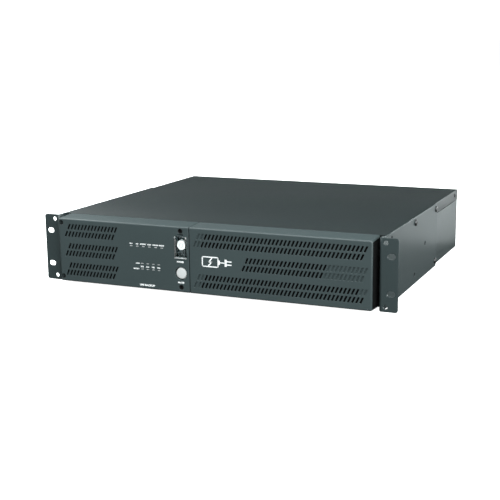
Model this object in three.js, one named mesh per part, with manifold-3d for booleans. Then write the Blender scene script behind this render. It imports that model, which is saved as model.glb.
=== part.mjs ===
// A 2U rack-mount uninterruptible power supply, in millimetres, +Z up, with its front facing -Y.
// It is drawn with Y = 0 on the front faces of the rack ears, X = 0 on the centre line and Z = 0
// on the underside; at the end it is moved along Y so that its origin is under its middle.
import * as THREE from 'three';
import { mergeVertices } from 'three/addons/utils/BufferGeometryUtils.js';
import Module from 'manifold-3d';

const wasm = await Module();
wasm.setup();

// ---------------------------------------------------------------- driving dimensions

const GAP = 0.3; // clearance between neighbouring pieces
const SHEET = 1.2; // steel sheet of the case
const SEAT_GAP = 0.05; // under the head of a screw
const SURFACE_GAP = 0.1; // between faces that lie on one another

const RACK = {
  panelWidth: 482.6,
  panelHeight: 88.1,
  slotSpanX: 466.1, // between the slots of the two ears
  slotSpanZ: 44.45, // between the two slots of one ear
  slotWidth: 9.8,
  slotHeight: 6.8,
};

const CASE = { front: 19.3, rear: 395, half: 219.2, top: 87.4 };
const JOGGLE = { half: 220.2, top: 71.2, slope: 0.8 }; // the side walls step out below the lips of the cover
const LIP = { thickness: 1, bottom: 72.5, frontBottom: 82.2 };
const INSIDE = { half: CASE.half - SHEET - GAP, floor: SHEET + GAP, roof: CASE.top - SHEET - GAP };

const EAR = {
  inner: 220.8,
  edge: { inner: 218.4, depth: 3.2 }, // the fold of the ear, which stands in from the flange
  thickness: 2,
  flangeDepth: 260,
  cornerRadius: 3,
  flangeCorner: 4,
  smallHole: { x: 226.2, spanZ: 76.2, radius: 2.75 },
  openHoles: [[36, 80.6], [144, 12], [196, 44]], // y, z of the unused flange holes
  openRadius: 3,
  screws: [[144, 80.6], [252, 80.6], [252, 8.4]], // y, z of the screws that hold the flange
  screwBore: 1.9,
};
const EAR_SCREW = { head: 4.2, headHeight: 2.2, shank: 1.5, length: 7 };

const BEZEL = {
  front: -10.4,
  rear: 18.9,
  half: 213.4,
  seam: -22.5,
  seamGap: 0.6,
  wall: 2.4,
  chamfer: 1.2,
  frontBottom: 2.1,
  frontTop: 85.6,
  rearBottom: 0.4,
  rearTop: 87.2,
};

const VENT = { pitch: 5, width: 2.3, height: 7.2, lean: 0.46, rowDrop: 9.75, blockDrop: 25.7, topRow: 75.1 };
const CONTROL_VENTS = { start: -197.45, rows: [[0, 15], [0, 15], [0, 15], [0, 15], [0, 15], [0, 15]] };
const DOOR_VENTS = { start: 0.35, rows: [[0, 42], [0, 42], [11, 21], [11, 21], [0, 40], [0, 42]] };

const BEZEL_SCREW = {
  xs: [-209.3, -34.5],
  zs: [8.4, 80],
  recess: 3.1,
  boss: 4,
  seat: -3.9,
  shank: 1.4,
  head: 2.7,
  headHeight: 1.8,
  length: 27,
  plateBore: 1.8,
};
const STATUS_WINDOWS = { x: -105.1, pitch: 8.8, count: 6, zs: [56.8], width: 4, height: 1.7 };
const METER_WINDOWS = { x: -89.7, pitch: 7.93, count: 4, zs: [27.5, 34.7], width: 3.8, height: 1.6 };

const BUTTON_X = -34.5;
const POCKET = { width: 17, bottom: 45, top: 73, floor: -1, wall: 1.2 };
const POWER_BUTTON = { z: 61.9, radius: 6.2, face: -8.5, flangeFront: 0.6, flangeRadius: 7.4 };
const MUTE_BUTTON = { z: 26.3, radius: 7.15, face: -10, flangeFront: -7.6, flangeRadius: 8.8 };
const BUTTON_FLANGE = 1.2;
const BUTTON_STEM = { radius: 2, end: 3.6 };
const BUTTON_CLEARANCE = 0.5;
const PIPE = { margin: 2.2, depth: 3.5, clearance: 0.2 };
const GUARD = { hingeY: -9.9, hingeZ: 71.4, barrel: 1.4, plate: 1.2, rib: 1, ribDepth: 2.6 };

const BOARD = { x0: -112, x1: -26.5, z0: 14, z1: 74, front: 9, thickness: 1.6 };
const TACT_SWITCH = { half: 6, depth: 2, stud: 1.7, studDepth: 1 };
const RIBBON = { x0: -68, x1: -48, thickness: 1, bendY: 32, lowZ: 11.4, highZ: 46, lap: 8 };
const FRONT_PLATE = {
  y: 20.8,
  right: -12,
  windows: { first: -206, width: 36, pitch: 44, count: 4, bottom: 14, top: 74 },
};
const BRACKET = { left: 200, depth: 40, bottom: 4, top: 81 };

const DIVIDER_X = -12; // face of the divider on the battery side
const BACK_WALL_Y = 350;
const CATCH = { xs: [-17, 208], zs: [24, 64], radius: 3.8, end: 20.4 }; // magnet posts on the door

const TRAY = { x0: -9, x1: 196, y0: 25, y1: 337.2, z0: 1.8, side: 45, front: 78, back: 62 };
const BATTERY = { height: 94, length: 151, width: 65, bevel: 2 };
const TAB = { reach: 6, width: 6.3, thickness: 0.8, fromEnd: 14, fromSide: 12 };
const BATTERY_ROWS = [28, 180.5];
const HANDLE = { x0: 58, x1: 132, z: 40, reach: 13, radius: 2.5, bend: 6 };
const LEAD = { x: 93.5, radius: 2.4, z: 71.5, start: 70, middle: 200 };
const PLUG = { x0: 76, x1: 111, y1: 347.5, z0: 52, z1: 64 };
const SOCKET = { front: 343.6, clearance: 0.5, rim: 2.5 };

const CORE = { x: -152, width: 96, height: 76, leg: 32, y0: 62, stack: 55 };
const WINDING_REACH = 14;
const MAIN_BOARD = { x0: -214, x1: -18, y0: 142, y1: 352, z0: 9, thickness: 1.6 };
const BOARD_POST = { inset: 8, radius: 3 };
const HEATSINK = { base: 4, reach: 26, fin: 2 };
const INVERTER_SINK = { x: -208, y: 165, length: 150, height: 56, fins: 8 };
const CHARGER_SINK = { x: -56, y: 190, length: 100, height: 42, fins: 6 };
const CAPACITOR = { x: -130, ys: [200, 232], radius: 12.5, height: 42, bead: 1.2 };
const RELAY = { x0: -120, x1: -92, y0: 290, y1: 312, height: 24 };

const FAN = { x: -166, z: 44, size: 80, depth: 25, bore: 38, strut: 2.8 };
const ROTOR = { hub: 16, tip: 36.5, blades: 7, inset: 2, depth: 19, chord: 19, thickness: 1.6, pitch: 0.75 };
const FAN_GUARD = { rings: [14, 25, 36], wire: 0.9, screwReach: 35.75 * Math.SQRT2 + 2.5, bar: 1.4 };

const OUTLETS = { x0: 2, width: 164, count: 4, height: 34, lowerZ: 8, upperZ: 46, depth: 30, proud: 1.4 };
const RECEPTACLE = {
  bladeX: 6.4,
  bladeZ: 4.5,
  bladeWidth: 2,
  tall: 8,
  short: 7,
  earthDrop: 7,
  earthRadius: 2.6,
  depth: 3,
};
const INLET = {
  x: 193,
  z: 60,
  width: 27,
  height: 20,
  depth: 24,
  proud: 2.2,
  flange: 3,
  cavity: { width: 24.4, height: 16.6, corner: 5, depth: 15.5 },
  pins: [[-7, -2], [7, -2], [0, 3]], // x, z from the middle
};
const BREAKER = { x: 193, z: 22, body: 7.5, bore: 4.6, nut: 10, back: 370, boreFloor: 385.5, face: 398 };
const BREAKER_BUTTON = { radius: 4.2, start: 386.5, end: 402, edge: 1 };
const PORT_Z = 28;
const USB = { x: -98, width: 12, height: 11, mouthX: 8.4, mouthZ: 7.8, mouthDepth: 10, depth: 15 };
const SERIAL = { x: -71, bottomHalf: 7.6, topHalf: 8.6, halfHeight: 3.8, wall: 0.8, proud: 6, depth: 10 };
const SERIAL_PLATE = { halfX: 15.5, halfZ: 6.2, end: 0.9 };
const NETWORK = { x: -40, width: 28, height: 14, depth: 17 };
const JACK = { pitch: 14, width: 11.8, bottom: 4.6, top: 3.6, behind: 5 };
const SLOT_COVER = { x0: -108, x1: -28, z0: 50, z1: 82, lapX: 4, lapZ: 3 };

// ---------------------------------------------------------------- colours and finishes

function finish(color, roughness, metalness) {
  return new THREE.MeshStandardMaterial({ color, roughness, metalness });
}
const slatePaint = finish(0x40494a, 0.55, 0.3);
const slatePlastic = finish(0x434c4d, 0.6, 0);
const blackPlastic = finish(0x17191a, 0.5, 0);
const zincSteel = finish(0xa7abac, 0.4, 0.9);
const darkScrew = finish(0x202324, 0.4, 0.8);
const whitePlastic = finish(0xe9ebea, 0.35, 0);
const clearPlastic = finish(0xc9d2d3, 0.15, 0);
const lensPlastic = finish(0x9fa8a8, 0.3, 0);
const boardGreen = finish(0x1e5a36, 0.6, 0);
const aluminium = finish(0xb5b8ba, 0.4, 0.9);
const laminatedIron = finish(0x4c4a47, 0.6, 0.8);
const copperWinding = finish(0x9a5a2c, 0.4, 0.6);
const batteryGrey = finish(0x3a3d40, 0.6, 0);
const redPlastic = finish(0xa8231c, 0.45, 0);

// ---------------------------------------------------------------- shapes

function solidOf(geometry) {
  const bare = geometry.clone();
  bare.deleteAttribute('normal');
  bare.deleteAttribute('uv');
  const merged = mergeVertices(bare, 1e-4);
  return new wasm.Manifold(new wasm.Mesh({
    numProp: 3,
    vertProperties: Float32Array.from(merged.attributes.position.array),
    triVerts: Uint32Array.from(merged.index.array),
  }));
}

function geometryOf(solid) {
  const mesh = solid.getMesh();
  const geometry = new THREE.BufferGeometry();
  geometry.setAttribute('position', new THREE.BufferAttribute(mesh.vertProperties, 3));
  geometry.setIndex(new THREE.BufferAttribute(mesh.triVerts, 1));
  return geometry;
}

function join(...geometries) {
  return geometryOf(geometries.map(solidOf).reduce((whole, next) => whole.add(next)));
}

function cut(base, ...tools) {
  return geometryOf(tools.map(solidOf).reduce((whole, next) => whole.subtract(next), solidOf(base)));
}

function block(x0, x1, y0, y1, z0, z1) {
  const geometry = new THREE.BoxGeometry(x1 - x0, y1 - y0, z1 - z0);
  return geometry.translate((x0 + x1) / 2, (y0 + y1) / 2, (z0 + z1) / 2);
}

function outline(points) {
  return new THREE.Shape(points.map(([u, v]) => new THREE.Vector2(u, v)));
}

function rectangle(u0, u1, v0, v1) {
  return outline([[u0, v0], [u1, v0], [u1, v1], [u0, v1]]);
}

function extruded(shapes, depth) {
  return new THREE.ExtrudeGeometry(shapes, { depth, bevelEnabled: false, curveSegments: 2 });
}

// Shapes drawn in (x, z), filling y0 to y1.
function alongY(shapes, y0, y1) {
  return extruded(shapes, y1 - y0).rotateX(Math.PI / 2).translate(0, y1, 0);
}

// Shapes drawn in (y, z), filling x0 to x1.
function alongX(shapes, x0, x1) {
  const turn = new THREE.Matrix4().makeBasis(
    new THREE.Vector3(0, 1, 0), new THREE.Vector3(0, 0, 1), new THREE.Vector3(1, 0, 0));
  return extruded(shapes, x1 - x0).applyMatrix4(turn).translate(x0, 0, 0);
}

// Shapes drawn in (x, y), filling z0 to z1.
function alongZ(shapes, z0, z1) {
  return extruded(shapes, z1 - z0).translate(0, 0, z0);
}

function rodY(x, z, radius, y0, y1, sides = 12) {
  return new THREE.CylinderGeometry(radius, radius, y1 - y0, sides).translate(x, (y0 + y1) / 2, z);
}

function rodX(y, z, radius, x0, x1, sides = 8) {
  const rod = new THREE.CylinderGeometry(radius, radius, x1 - x0, sides).rotateZ(Math.PI / 2);
  return rod.translate((x0 + x1) / 2, y, z);
}

function rodZ(x, y, radius, z0, z1, sides = 12) {
  const rod = new THREE.CylinderGeometry(radius, radius, z1 - z0, sides).rotateX(Math.PI / 2);
  return rod.translate(x, y, (z0 + z1) / 2);
}

// A turned piece whose axis is Y: profile points are (radius, y), from the front to the back.
function turnedY(profile, sides = 16) {
  return new THREE.LatheGeometry(profile.map(([r, y]) => new THREE.Vector2(r, y)), sides);
}

function roundedRectangle(u0, u1, v0, v1, radius) {
  const shape = new THREE.Shape();
  shape.absarc(u1 - radius, v0 + radius, radius, -Math.PI / 2, 0);
  shape.absarc(u1 - radius, v1 - radius, radius, 0, Math.PI / 2);
  shape.absarc(u0 + radius, v1 - radius, radius, Math.PI / 2, Math.PI);
  shape.absarc(u0 + radius, v0 + radius, radius, Math.PI, Math.PI * 1.5);
  return shape;
}

function part(parent, name, geometry, material) {
  const mesh = new THREE.Mesh(geometry, material);
  mesh.name = name;
  parent.add(mesh);
  return mesh;
}

// ---------------------------------------------------------------- steel case

function chassisTray() {
  const { half, top, slope } = JOGGLE;
  const rightSide = [
    [half, 0], [half, top], [CASE.half, top + slope], [CASE.half, INSIDE.roof],
    [CASE.half - SHEET, INSIDE.roof], [CASE.half - SHEET, top],
    [half - SHEET, top - slope], [half - SHEET, SHEET],
  ];
  const leftSide = rightSide.map(([x, z]) => [-x, z]).reverse();
  const channel = outline([...rightSide, ...leftSide]);
  return cut(alongY(channel, CASE.front, CASE.rear), ...screwBores(CASE.half - SHEET, half));
}

function topCover() {
  const inner = CASE.half + GAP;
  const outer = inner + LIP.thickness;
  const under = CASE.top - SHEET;
  const section = outline([
    [-outer, LIP.bottom], [-inner, LIP.bottom], [-inner, under], [inner, under],
    [inner, LIP.bottom], [outer, LIP.bottom], [outer, CASE.top], [-outer, CASE.top],
  ]);
  const frontLip = block(-INSIDE.half, INSIDE.half, CASE.front, CASE.front + SHEET,
    LIP.frontBottom, CASE.top - SURFACE_GAP);
  return cut(join(alongY(section, CASE.front, CASE.rear), frontLip), ...screwBores(inner, outer));
}

// Clearance holes through both sides of the case for the screws of the rack ears.
function screwBores(x0, x1) {
  return EAR.screws.flatMap(([y, z]) => [
    rodX(y, z, EAR.screwBore, x0 - 1, x1 + 1, 6),
    rodX(y, z, EAR.screwBore, -x1 - 1, -x0 + 1, 6),
  ]);
}

function rearPanel() {
  const y0 = CASE.rear - SHEET;
  const plate = block(-INSIDE.half, INSIDE.half, y0, CASE.rear, INSIDE.floor, INSIDE.roof);
  const hole = (x0, x1, z0, z1) => block(x0 - GAP, x1 + GAP, y0 - 1, CASE.rear + 1, z0 - GAP, z1 + GAP);
  const around = (x, z, width, height) => hole(x - width / 2, x + width / 2, z - height / 2, z + height / 2);
  const bore = (x, z, radius, sides) => rodY(x, z, radius, y0 - 1, CASE.rear + 1, sides);
  const slotMiddle = [(SLOT_COVER.x0 + SLOT_COVER.x1) / 2, (SLOT_COVER.z0 + SLOT_COVER.z1) / 2];
  const slotWidth = SLOT_COVER.x1 - SLOT_COVER.x0 - 2 * SLOT_COVER.lapX;
  const slotHeight = SLOT_COVER.z1 - SLOT_COVER.z0 - 2 * SLOT_COVER.lapZ;
  return cut(
    plate,
    bore(FAN.x, FAN.z, FAN.bore, 24),
    bore(BREAKER.x, BREAKER.z, BREAKER.body + GAP, 16),
    around(INLET.x, INLET.z, INLET.width, INLET.height),
    ...[OUTLETS.lowerZ, OUTLETS.upperZ].map(
      (z) => hole(OUTLETS.x0, OUTLETS.x0 + OUTLETS.width, z, z + OUTLETS.height)),
    around(...slotMiddle, slotWidth, slotHeight),
    around(USB.x, PORT_Z, USB.width, USB.height),
    around(SERIAL.x, PORT_Z, 2 * SERIAL.topHalf + 2 * GAP, 2 * SERIAL.halfHeight + 2 * GAP),
    around(NETWORK.x, PORT_Z, NETWORK.width, NETWORK.height),
  );
}

function frontPlate() {
  const { y, right, windows } = FRONT_PLATE;
  const y1 = y + SHEET;
  const openings = Array.from({ length: windows.count }, (_, index) => {
    const left = windows.first + index * windows.pitch;
    return block(left, left + windows.width, y - 1, y1 + 1, windows.bottom, windows.top);
  });
  const screwHoles = BEZEL_SCREW.xs.flatMap(
    (x) => BEZEL_SCREW.zs.map((z) => rodY(x, z, BEZEL_SCREW.plateBore, y - 1, y1 + 1, 8)));
  const plate = block(-INSIDE.half, right, y, y1, INSIDE.floor, INSIDE.roof);
  return cut(plate, ...openings, ...screwHoles);
}

function bayDivider() {
  const y0 = FRONT_PLATE.y + SHEET + GAP;
  return block(DIVIDER_X - SHEET, DIVIDER_X, y0, BACK_WALL_Y - GAP, INSIDE.floor, INSIDE.roof);
}

function bayBackWall() {
  return block(DIVIDER_X, INSIDE.half, BACK_WALL_Y, BACK_WALL_Y + SHEET, INSIDE.floor, INSIDE.roof);
}

function doorBracket() {
  const { left, depth, bottom, top } = BRACKET;
  const y0 = FRONT_PLATE.y;
  const angle = outline([
    [left, y0], [INSIDE.half, y0], [INSIDE.half, y0 + depth], [INSIDE.half - SHEET, y0 + depth],
    [INSIDE.half - SHEET, y0 + SHEET], [left, y0 + SHEET],
  ]);
  return alongZ(angle, bottom, top);
}

// ---------------------------------------------------------------- rack ears and their screws

function rackEar(side) {
  const { inner, thickness, flangeDepth, flangeCorner, smallHole } = EAR;
  const middle = RACK.panelHeight / 2;
  const outer = RACK.panelWidth / 2;
  const slotX = RACK.slotSpanX / 2;
  const plate = alongY(roundedRectangle(inner, outer, 0, RACK.panelHeight, EAR.cornerRadius), 0, thickness);
  const fold = block(EAR.edge.inner, inner + thickness, 0, EAR.edge.depth, 0, RACK.panelHeight);
  const flange = alongX(outline([
    [0, 0], [flangeDepth - flangeCorner, 0], [flangeDepth, flangeCorner],
    [flangeDepth, CASE.top - flangeCorner], [flangeDepth - flangeCorner, CASE.top], [0, CASE.top],
  ]), inner, inner + thickness);
  const slots = [-1, 1].map((way) => {
    const z = middle + way * RACK.slotSpanZ / 2;
    const slot = roundedRectangle(slotX - RACK.slotWidth / 2, slotX + RACK.slotWidth / 2,
      z - RACK.slotHeight / 2, z + RACK.slotHeight / 2, RACK.slotHeight / 2 - 0.01);
    return alongY(slot, -1, thickness + 1);
  });
  const smallHoles = [-1, 1].map((way) => rodY(
    smallHole.x, middle + way * smallHole.spanZ / 2, smallHole.radius, -1, thickness + 1));
  const bore = (radius, sides) => ([y, z]) => rodX(y, z, radius, inner - 1, inner + thickness + 1, sides);
  const openHoles = EAR.openHoles.map(bore(EAR.openRadius, 12));
  const screwHoles = EAR.screws.map(bore(EAR.screwBore, 6));
  const ear = cut(join(plate, fold, flange), ...slots, ...smallHoles, ...openHoles, ...screwHoles);
  return side > 0 ? ear : mirroredX(ear);
}

function mirroredX(geometry) {
  const mirrored = geometry.clone().scale(-1, 1, 1);
  const index = Array.from(mirrored.index.array);
  for (let i = 0; i < index.length; i += 3) {
    [index[i], index[i + 1]] = [index[i + 1], index[i]];
  }
  mirrored.setIndex(index);
  return mirrored;
}

// A pan-head screw whose head is at its own origin and whose shank points along +Y.
function panScrew({ head, headHeight, shank, length }) {
  return turnedY([
    [0, -headHeight], [head * 0.7, -headHeight], [head, -headHeight * 0.4],
    [head, 0], [shank, 0], [shank, length], [0, length],
  ], 12);
}

function addEarScrews(parent) {
  const geometry = panScrew(EAR_SCREW);
  const headFace = EAR.inner + EAR.thickness + SEAT_GAP;
  for (const [side, word] of [[-1, 'left'], [1, 'right']]) {
    EAR.screws.forEach(([y, z], index) => {
      const screw = part(parent, `${word}_ear_screw_${index + 1}`, geometry, darkScrew);
      screw.rotation.z = side * Math.PI / 2;
      screw.position.set(side * headFace, y, z);
    });
  }
}

// ---------------------------------------------------------------- front bezels

function bezelShell(x0, x1) {
  const { front, rear, wall, chamfer, frontBottom, frontTop, rearBottom, rearTop } = BEZEL;
  const outer = outline([
    [front, frontBottom + chamfer], [front + chamfer, frontBottom], [rear, rearBottom],
    [rear, rearTop], [front + chamfer, frontTop], [front, frontTop - chamfer],
  ]);
  const hollow = outline([
    [front + wall, frontBottom + wall], [rear + 1, rearBottom + wall],
    [rear + 1, rearTop - wall], [front + wall, frontTop - wall],
  ]);
  return cut(alongX(outer, x0, x1), alongX(hollow, x0 + wall, x1 - wall));
}

// Slanted slots in three blocks of two rows; each row is [first slot, number of slots].
function ventSlots({ start, rows }) {
  const shapes = rows.flatMap(([first, count], row) => {
    const lower = row % 2;
    const z = VENT.topRow - Math.floor(row / 2) * VENT.blockDrop - lower * VENT.rowDrop;
    const rowStart = start - lower * VENT.rowDrop * VENT.lean;
    return Array.from({ length: count }, (_, index) => slotShape(rowStart + (first + index) * VENT.pitch, z));
  });
  return alongY(shapes, BEZEL.front - 1, BEZEL.front + BEZEL.wall + 1);
}

function slotShape(x, z) {
  const slide = VENT.lean * VENT.height / 2;
  const half = VENT.width / 2;
  return outline([
    [x - half - slide, z - VENT.height / 2], [x + half - slide, z - VENT.height / 2],
    [x + half + slide, z + VENT.height / 2], [x - half + slide, z + VENT.height / 2],
  ]);
}

function windowShapes({ x, pitch, count, zs, width, height }, inset) {
  return zs.flatMap((z) => Array.from({ length: count }, (_, index) => {
    const centre = x + index * pitch;
    return rectangle(centre - width / 2 + inset, centre + width / 2 - inset,
      z - height / 2 + inset, z + height / 2 - inset);
  }));
}

function controlBezel() {
  const { front, rear, wall } = BEZEL;
  const right = BEZEL.seam - BEZEL.seamGap / 2;
  const pocketLeft = BUTTON_X - POCKET.width / 2;
  const pocketRight = BUTTON_X + POCKET.width / 2;
  const screwPlaces = BEZEL_SCREW.xs.flatMap((x) => BEZEL_SCREW.zs.map((z) => [x, z]));
  const bosses = screwPlaces.map(([x, z]) => rodY(x, z, BEZEL_SCREW.boss, front + 1, rear));
  const pocketBlock = block(pocketLeft - POCKET.wall, pocketRight + POCKET.wall,
    front + 1, POCKET.floor + POCKET.wall, POCKET.bottom - POCKET.wall, POCKET.top + POCKET.wall);
  const solid = join(bezelShell(-BEZEL.half, right), pocketBlock, ...bosses);
  const windows = [STATUS_WINDOWS, METER_WINDOWS].flatMap((row) => windowShapes(row, 0));
  return cut(
    solid,
    ventSlots(CONTROL_VENTS),
    alongY(windows, front - 1, front + wall + 1),
    block(pocketLeft, pocketRight, front - 1, POCKET.floor, POCKET.bottom, POCKET.top),
    rodY(BUTTON_X, POWER_BUTTON.z, POWER_BUTTON.radius + BUTTON_CLEARANCE, POCKET.floor - 1, rear, 20),
    rodY(BUTTON_X, MUTE_BUTTON.z, MUTE_BUTTON.radius + BUTTON_CLEARANCE, front - 1, front + wall + 1, 20),
    ...screwPlaces.map(([x, z]) => rodY(x, z, BEZEL_SCREW.recess, front - 1, BEZEL_SCREW.seat)),
    ...screwPlaces.map(([x, z]) => rodY(x, z, BEZEL_SCREW.shank + GAP, front, rear + 1, 8)),
  );
}

function batteryDoor() {
  const left = BEZEL.seam + BEZEL.seamGap / 2;
  const posts = CATCH.xs.flatMap(
    (x) => CATCH.zs.map((z) => rodY(x, z, CATCH.radius, BEZEL.front + 1, CATCH.end)));
  return cut(join(bezelShell(left, BEZEL.half), ...posts), ventSlots(DOOR_VENTS));
}

// ---------------------------------------------------------------- controls behind the left bezel

// A push button: a cap with a retaining flange and a stem, all turned about Y.
function pushButton({ radius, face, flangeFront, flangeRadius }) {
  const flangeBack = flangeFront + BUTTON_FLANGE;
  const edge = 0.5; // bevel round the rim of the cap
  return turnedY([
    [0, face], [radius - edge, face], [radius, face + edge], [radius, flangeFront],
    [flangeRadius, flangeFront], [flangeRadius, flangeBack], [BUTTON_STEM.radius, flangeBack],
    [BUTTON_STEM.radius, BUTTON_STEM.end], [0, BUTTON_STEM.end],
  ], 16);
}

function powerGuard() {
  const half = POCKET.width / 2 - GAP;
  const front = GUARD.hingeY - GUARD.barrel;
  const back = front + GUARD.plate;
  const ribBack = back + GUARD.ribDepth;
  const bottom = POCKET.bottom + GAP;
  const ribTop = GUARD.hingeZ - 2;
  const left = BUTTON_X - half;
  const right = BUTTON_X + half;
  return join(
    block(left, right, front, back, bottom, GUARD.hingeZ),
    rodX(GUARD.hingeY, GUARD.hingeZ, GUARD.barrel, left, right, 12),
    block(left, left + GUARD.rib, back - 0.1, ribBack, bottom, ribTop),
    block(right - GUARD.rib, right, back - 0.1, ribBack, bottom, ribTop),
    block(left, right, back - 0.1, ribBack, bottom, bottom + GUARD.rib),
  );
}

// A clear bar behind the bezel with one prong standing in each of its windows.
function lightPipe(windows) {
  const { margin, depth, clearance } = PIPE;
  const last = windows.x + (windows.count - 1) * windows.pitch;
  const back = BEZEL.front + BEZEL.wall + GAP;
  const bar = block(windows.x - margin - windows.width / 2, last + margin + windows.width / 2,
    back, back + depth, windows.zs[0] - margin, windows.zs[windows.zs.length - 1] + margin);
  return join(bar, alongY(windowShapes(windows, clearance), BEZEL.front + SURFACE_GAP, back + 1));
}

function tactileSwitch(z) {
  const { half, depth, stud, studDepth } = TACT_SWITCH;
  const back = BOARD.front - SURFACE_GAP;
  const front = back - depth;
  return join(
    block(BUTTON_X - half, BUTTON_X + half, front, back, z - half, z + half),
    rodY(BUTTON_X, z, stud, front - studDepth, front + studDepth, 8),
  );
}

// Flat cable from the control board down through a window of the front plate to the main board.
function ribbonCable() {
  const { x0, x1, thickness, bendY, lowZ, highZ, lap } = RIBBON;
  const start = BOARD.front + BOARD.thickness + GAP;
  const end = MAIN_BOARD.y0 + lap;
  const strip = outline([
    [start, highZ - thickness], [bendY - thickness, highZ - thickness], [bendY - thickness, lowZ],
    [end, lowZ], [end, lowZ + thickness], [bendY, lowZ + thickness], [bendY, highZ], [start, highZ],
  ]);
  return alongX(strip, x0, x1);
}

function addControls(parent) {
  part(parent, 'control_board', block(BOARD.x0, BOARD.x1, BOARD.front, BOARD.front + BOARD.thickness,
    BOARD.z0, BOARD.z1), boardGreen);
  part(parent, 'status_light_pipe', lightPipe(STATUS_WINDOWS), lensPlastic);
  part(parent, 'meter_light_pipe', lightPipe(METER_WINDOWS), lensPlastic);
  part(parent, 'power_switch', tactileSwitch(POWER_BUTTON.z), blackPlastic);
  part(parent, 'mute_switch', tactileSwitch(MUTE_BUTTON.z), blackPlastic);
  part(parent, 'ribbon_cable', ribbonCable(), lensPlastic);
}

function addFrontMovers(parent) {
  const power = part(parent, 'power_button', pushButton(POWER_BUTTON), whitePlastic);
  power.position.set(BUTTON_X, 0, POWER_BUTTON.z);
  const mute = part(parent, 'mute_button', pushButton(MUTE_BUTTON), whitePlastic);
  mute.position.set(BUTTON_X, 0, MUTE_BUTTON.z);
  part(parent, 'power_guard', powerGuard(), clearPlastic);
}

function addBezelScrews(parent) {
  const geometry = panScrew(BEZEL_SCREW);
  BEZEL_SCREW.xs.forEach((x, column) => BEZEL_SCREW.zs.forEach((z, row) => {
    const screw = part(parent, `bezel_screw_${column * 2 + row + 1}`, geometry, darkScrew);
    screw.position.set(x, BEZEL_SCREW.seat - SEAT_GAP, z);
  }));
}

// ---------------------------------------------------------------- battery pack

function batteryTray() {
  const { x0, x1, y0, y1, z0 } = TRAY;
  return join(
    block(x0, x1, y0, y1, z0, z0 + SHEET),
    block(x0, x0 + SHEET, y0, y1, z0, TRAY.side),
    block(x1 - SHEET, x1, y0, y1, z0, TRAY.side),
    block(x0, x1, y0, y0 + SHEET, z0, TRAY.front),
    block(x0, x1, y1 - SHEET, y1, z0, TRAY.back),
  );
}

// A sealed battery on its side, with its terminals pointing along +X from its own origin.
function battery() {
  const { height, length, width, bevel } = BATTERY;
  const section = outline([
    [bevel, 0], [length - bevel, 0], [length, bevel], [length, width - bevel],
    [length - bevel, width], [bevel, width], [0, width - bevel], [0, bevel],
  ]);
  const tabZ = width - TAB.fromSide;
  const tabs = [TAB.fromEnd, length - TAB.fromEnd].map((y) => block(height - 1, height + TAB.reach,
    y - TAB.width / 2, y + TAB.width / 2, tabZ, tabZ + TAB.thickness));
  return join(alongX(section, 0, height), ...tabs);
}

function pullHandle() {
  const { x0, x1, z, reach, radius, bend } = HANDLE;
  const back = TRAY.y0 - GAP;
  const front = back - reach;
  const path = new THREE.CurvePath();
  path.add(new THREE.LineCurve3(new THREE.Vector3(x0, back, z), new THREE.Vector3(x0, front + bend, z)));
  path.add(new THREE.QuadraticBezierCurve3(new THREE.Vector3(x0, front + bend, z),
    new THREE.Vector3(x0, front, z), new THREE.Vector3(x0 + bend, front, z)));
  path.add(new THREE.LineCurve3(new THREE.Vector3(x0 + bend, front, z),
    new THREE.Vector3(x1 - bend, front, z)));
  path.add(new THREE.QuadraticBezierCurve3(new THREE.Vector3(x1 - bend, front, z),
    new THREE.Vector3(x1, front, z), new THREE.Vector3(x1, front + bend, z)));
  path.add(new THREE.LineCurve3(new THREE.Vector3(x1, front + bend, z), new THREE.Vector3(x1, back, z)));
  return tubeAlong(path, radius, 24);
}

function tubeAlong(path, radius, steps) {
  const sides = 8;
  const section = outline(Array.from({ length: sides }, (_, index) => {
    const angle = (index + 0.5) / sides * 2 * Math.PI;
    return [radius * Math.cos(angle), radius * Math.sin(angle)];
  }));
  return new THREE.ExtrudeGeometry(section, { steps, extrudePath: path, bevelEnabled: false });
}

function batteryLead() {
  const { x, radius, z, start, middle } = LEAD;
  const plugEntry = TRAY.y1 + GAP + radius + 0.6;
  const stations = [
    [start, z], [middle, z], [TRAY.y1 - 8, z], [plugEntry - 1.5, z - 1.2],
    [plugEntry, PLUG.z1 + 3], [plugEntry, PLUG.z1 + GAP],
  ];
  const path = new THREE.CatmullRomCurve3(stations.map(([y, height]) => new THREE.Vector3(x, y, height)));
  return tubeAlong(path, radius, 16);
}

function batterySocket() {
  const { front, clearance, rim } = SOCKET;
  const margin = clearance + rim;
  return cut(
    block(PLUG.x0 - margin, PLUG.x1 + margin, front, BACK_WALL_Y - GAP, PLUG.z0 - margin, PLUG.z1 + margin),
    block(PLUG.x0 - clearance, PLUG.x1 + clearance, front - 1, PLUG.y1 + clearance,
      PLUG.z0 - clearance, PLUG.z1 + clearance),
  );
}

function addBatteryPack(parent) {
  const pack = new THREE.Group();
  parent.add(pack);
  part(pack, 'battery_tray', batteryTray(), zincSteel);
  const geometry = battery();
  const leftX = TRAY.x0 + SHEET + GAP;
  const rightX = TRAY.x1 - SHEET - GAP;
  BATTERY_ROWS.forEach((y, row) => {
    const left = part(pack, `battery_${row * 2 + 1}`, geometry, batteryGrey);
    left.position.set(leftX, y, TRAY.z0 + SHEET + GAP);
    const right = part(pack, `battery_${row * 2 + 2}`, geometry, batteryGrey);
    right.rotation.z = Math.PI;
    right.position.set(rightX, y + BATTERY.length, TRAY.z0 + SHEET + GAP);
  });
  part(pack, 'battery_handle', pullHandle(), blackPlastic);
  part(pack, 'battery_lead', batteryLead(), redPlastic);
  part(pack, 'battery_plug', block(PLUG.x0, PLUG.x1, TRAY.y1 + GAP, PLUG.y1, PLUG.z0, PLUG.z1), redPlastic);
}

// ---------------------------------------------------------------- power electronics

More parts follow.
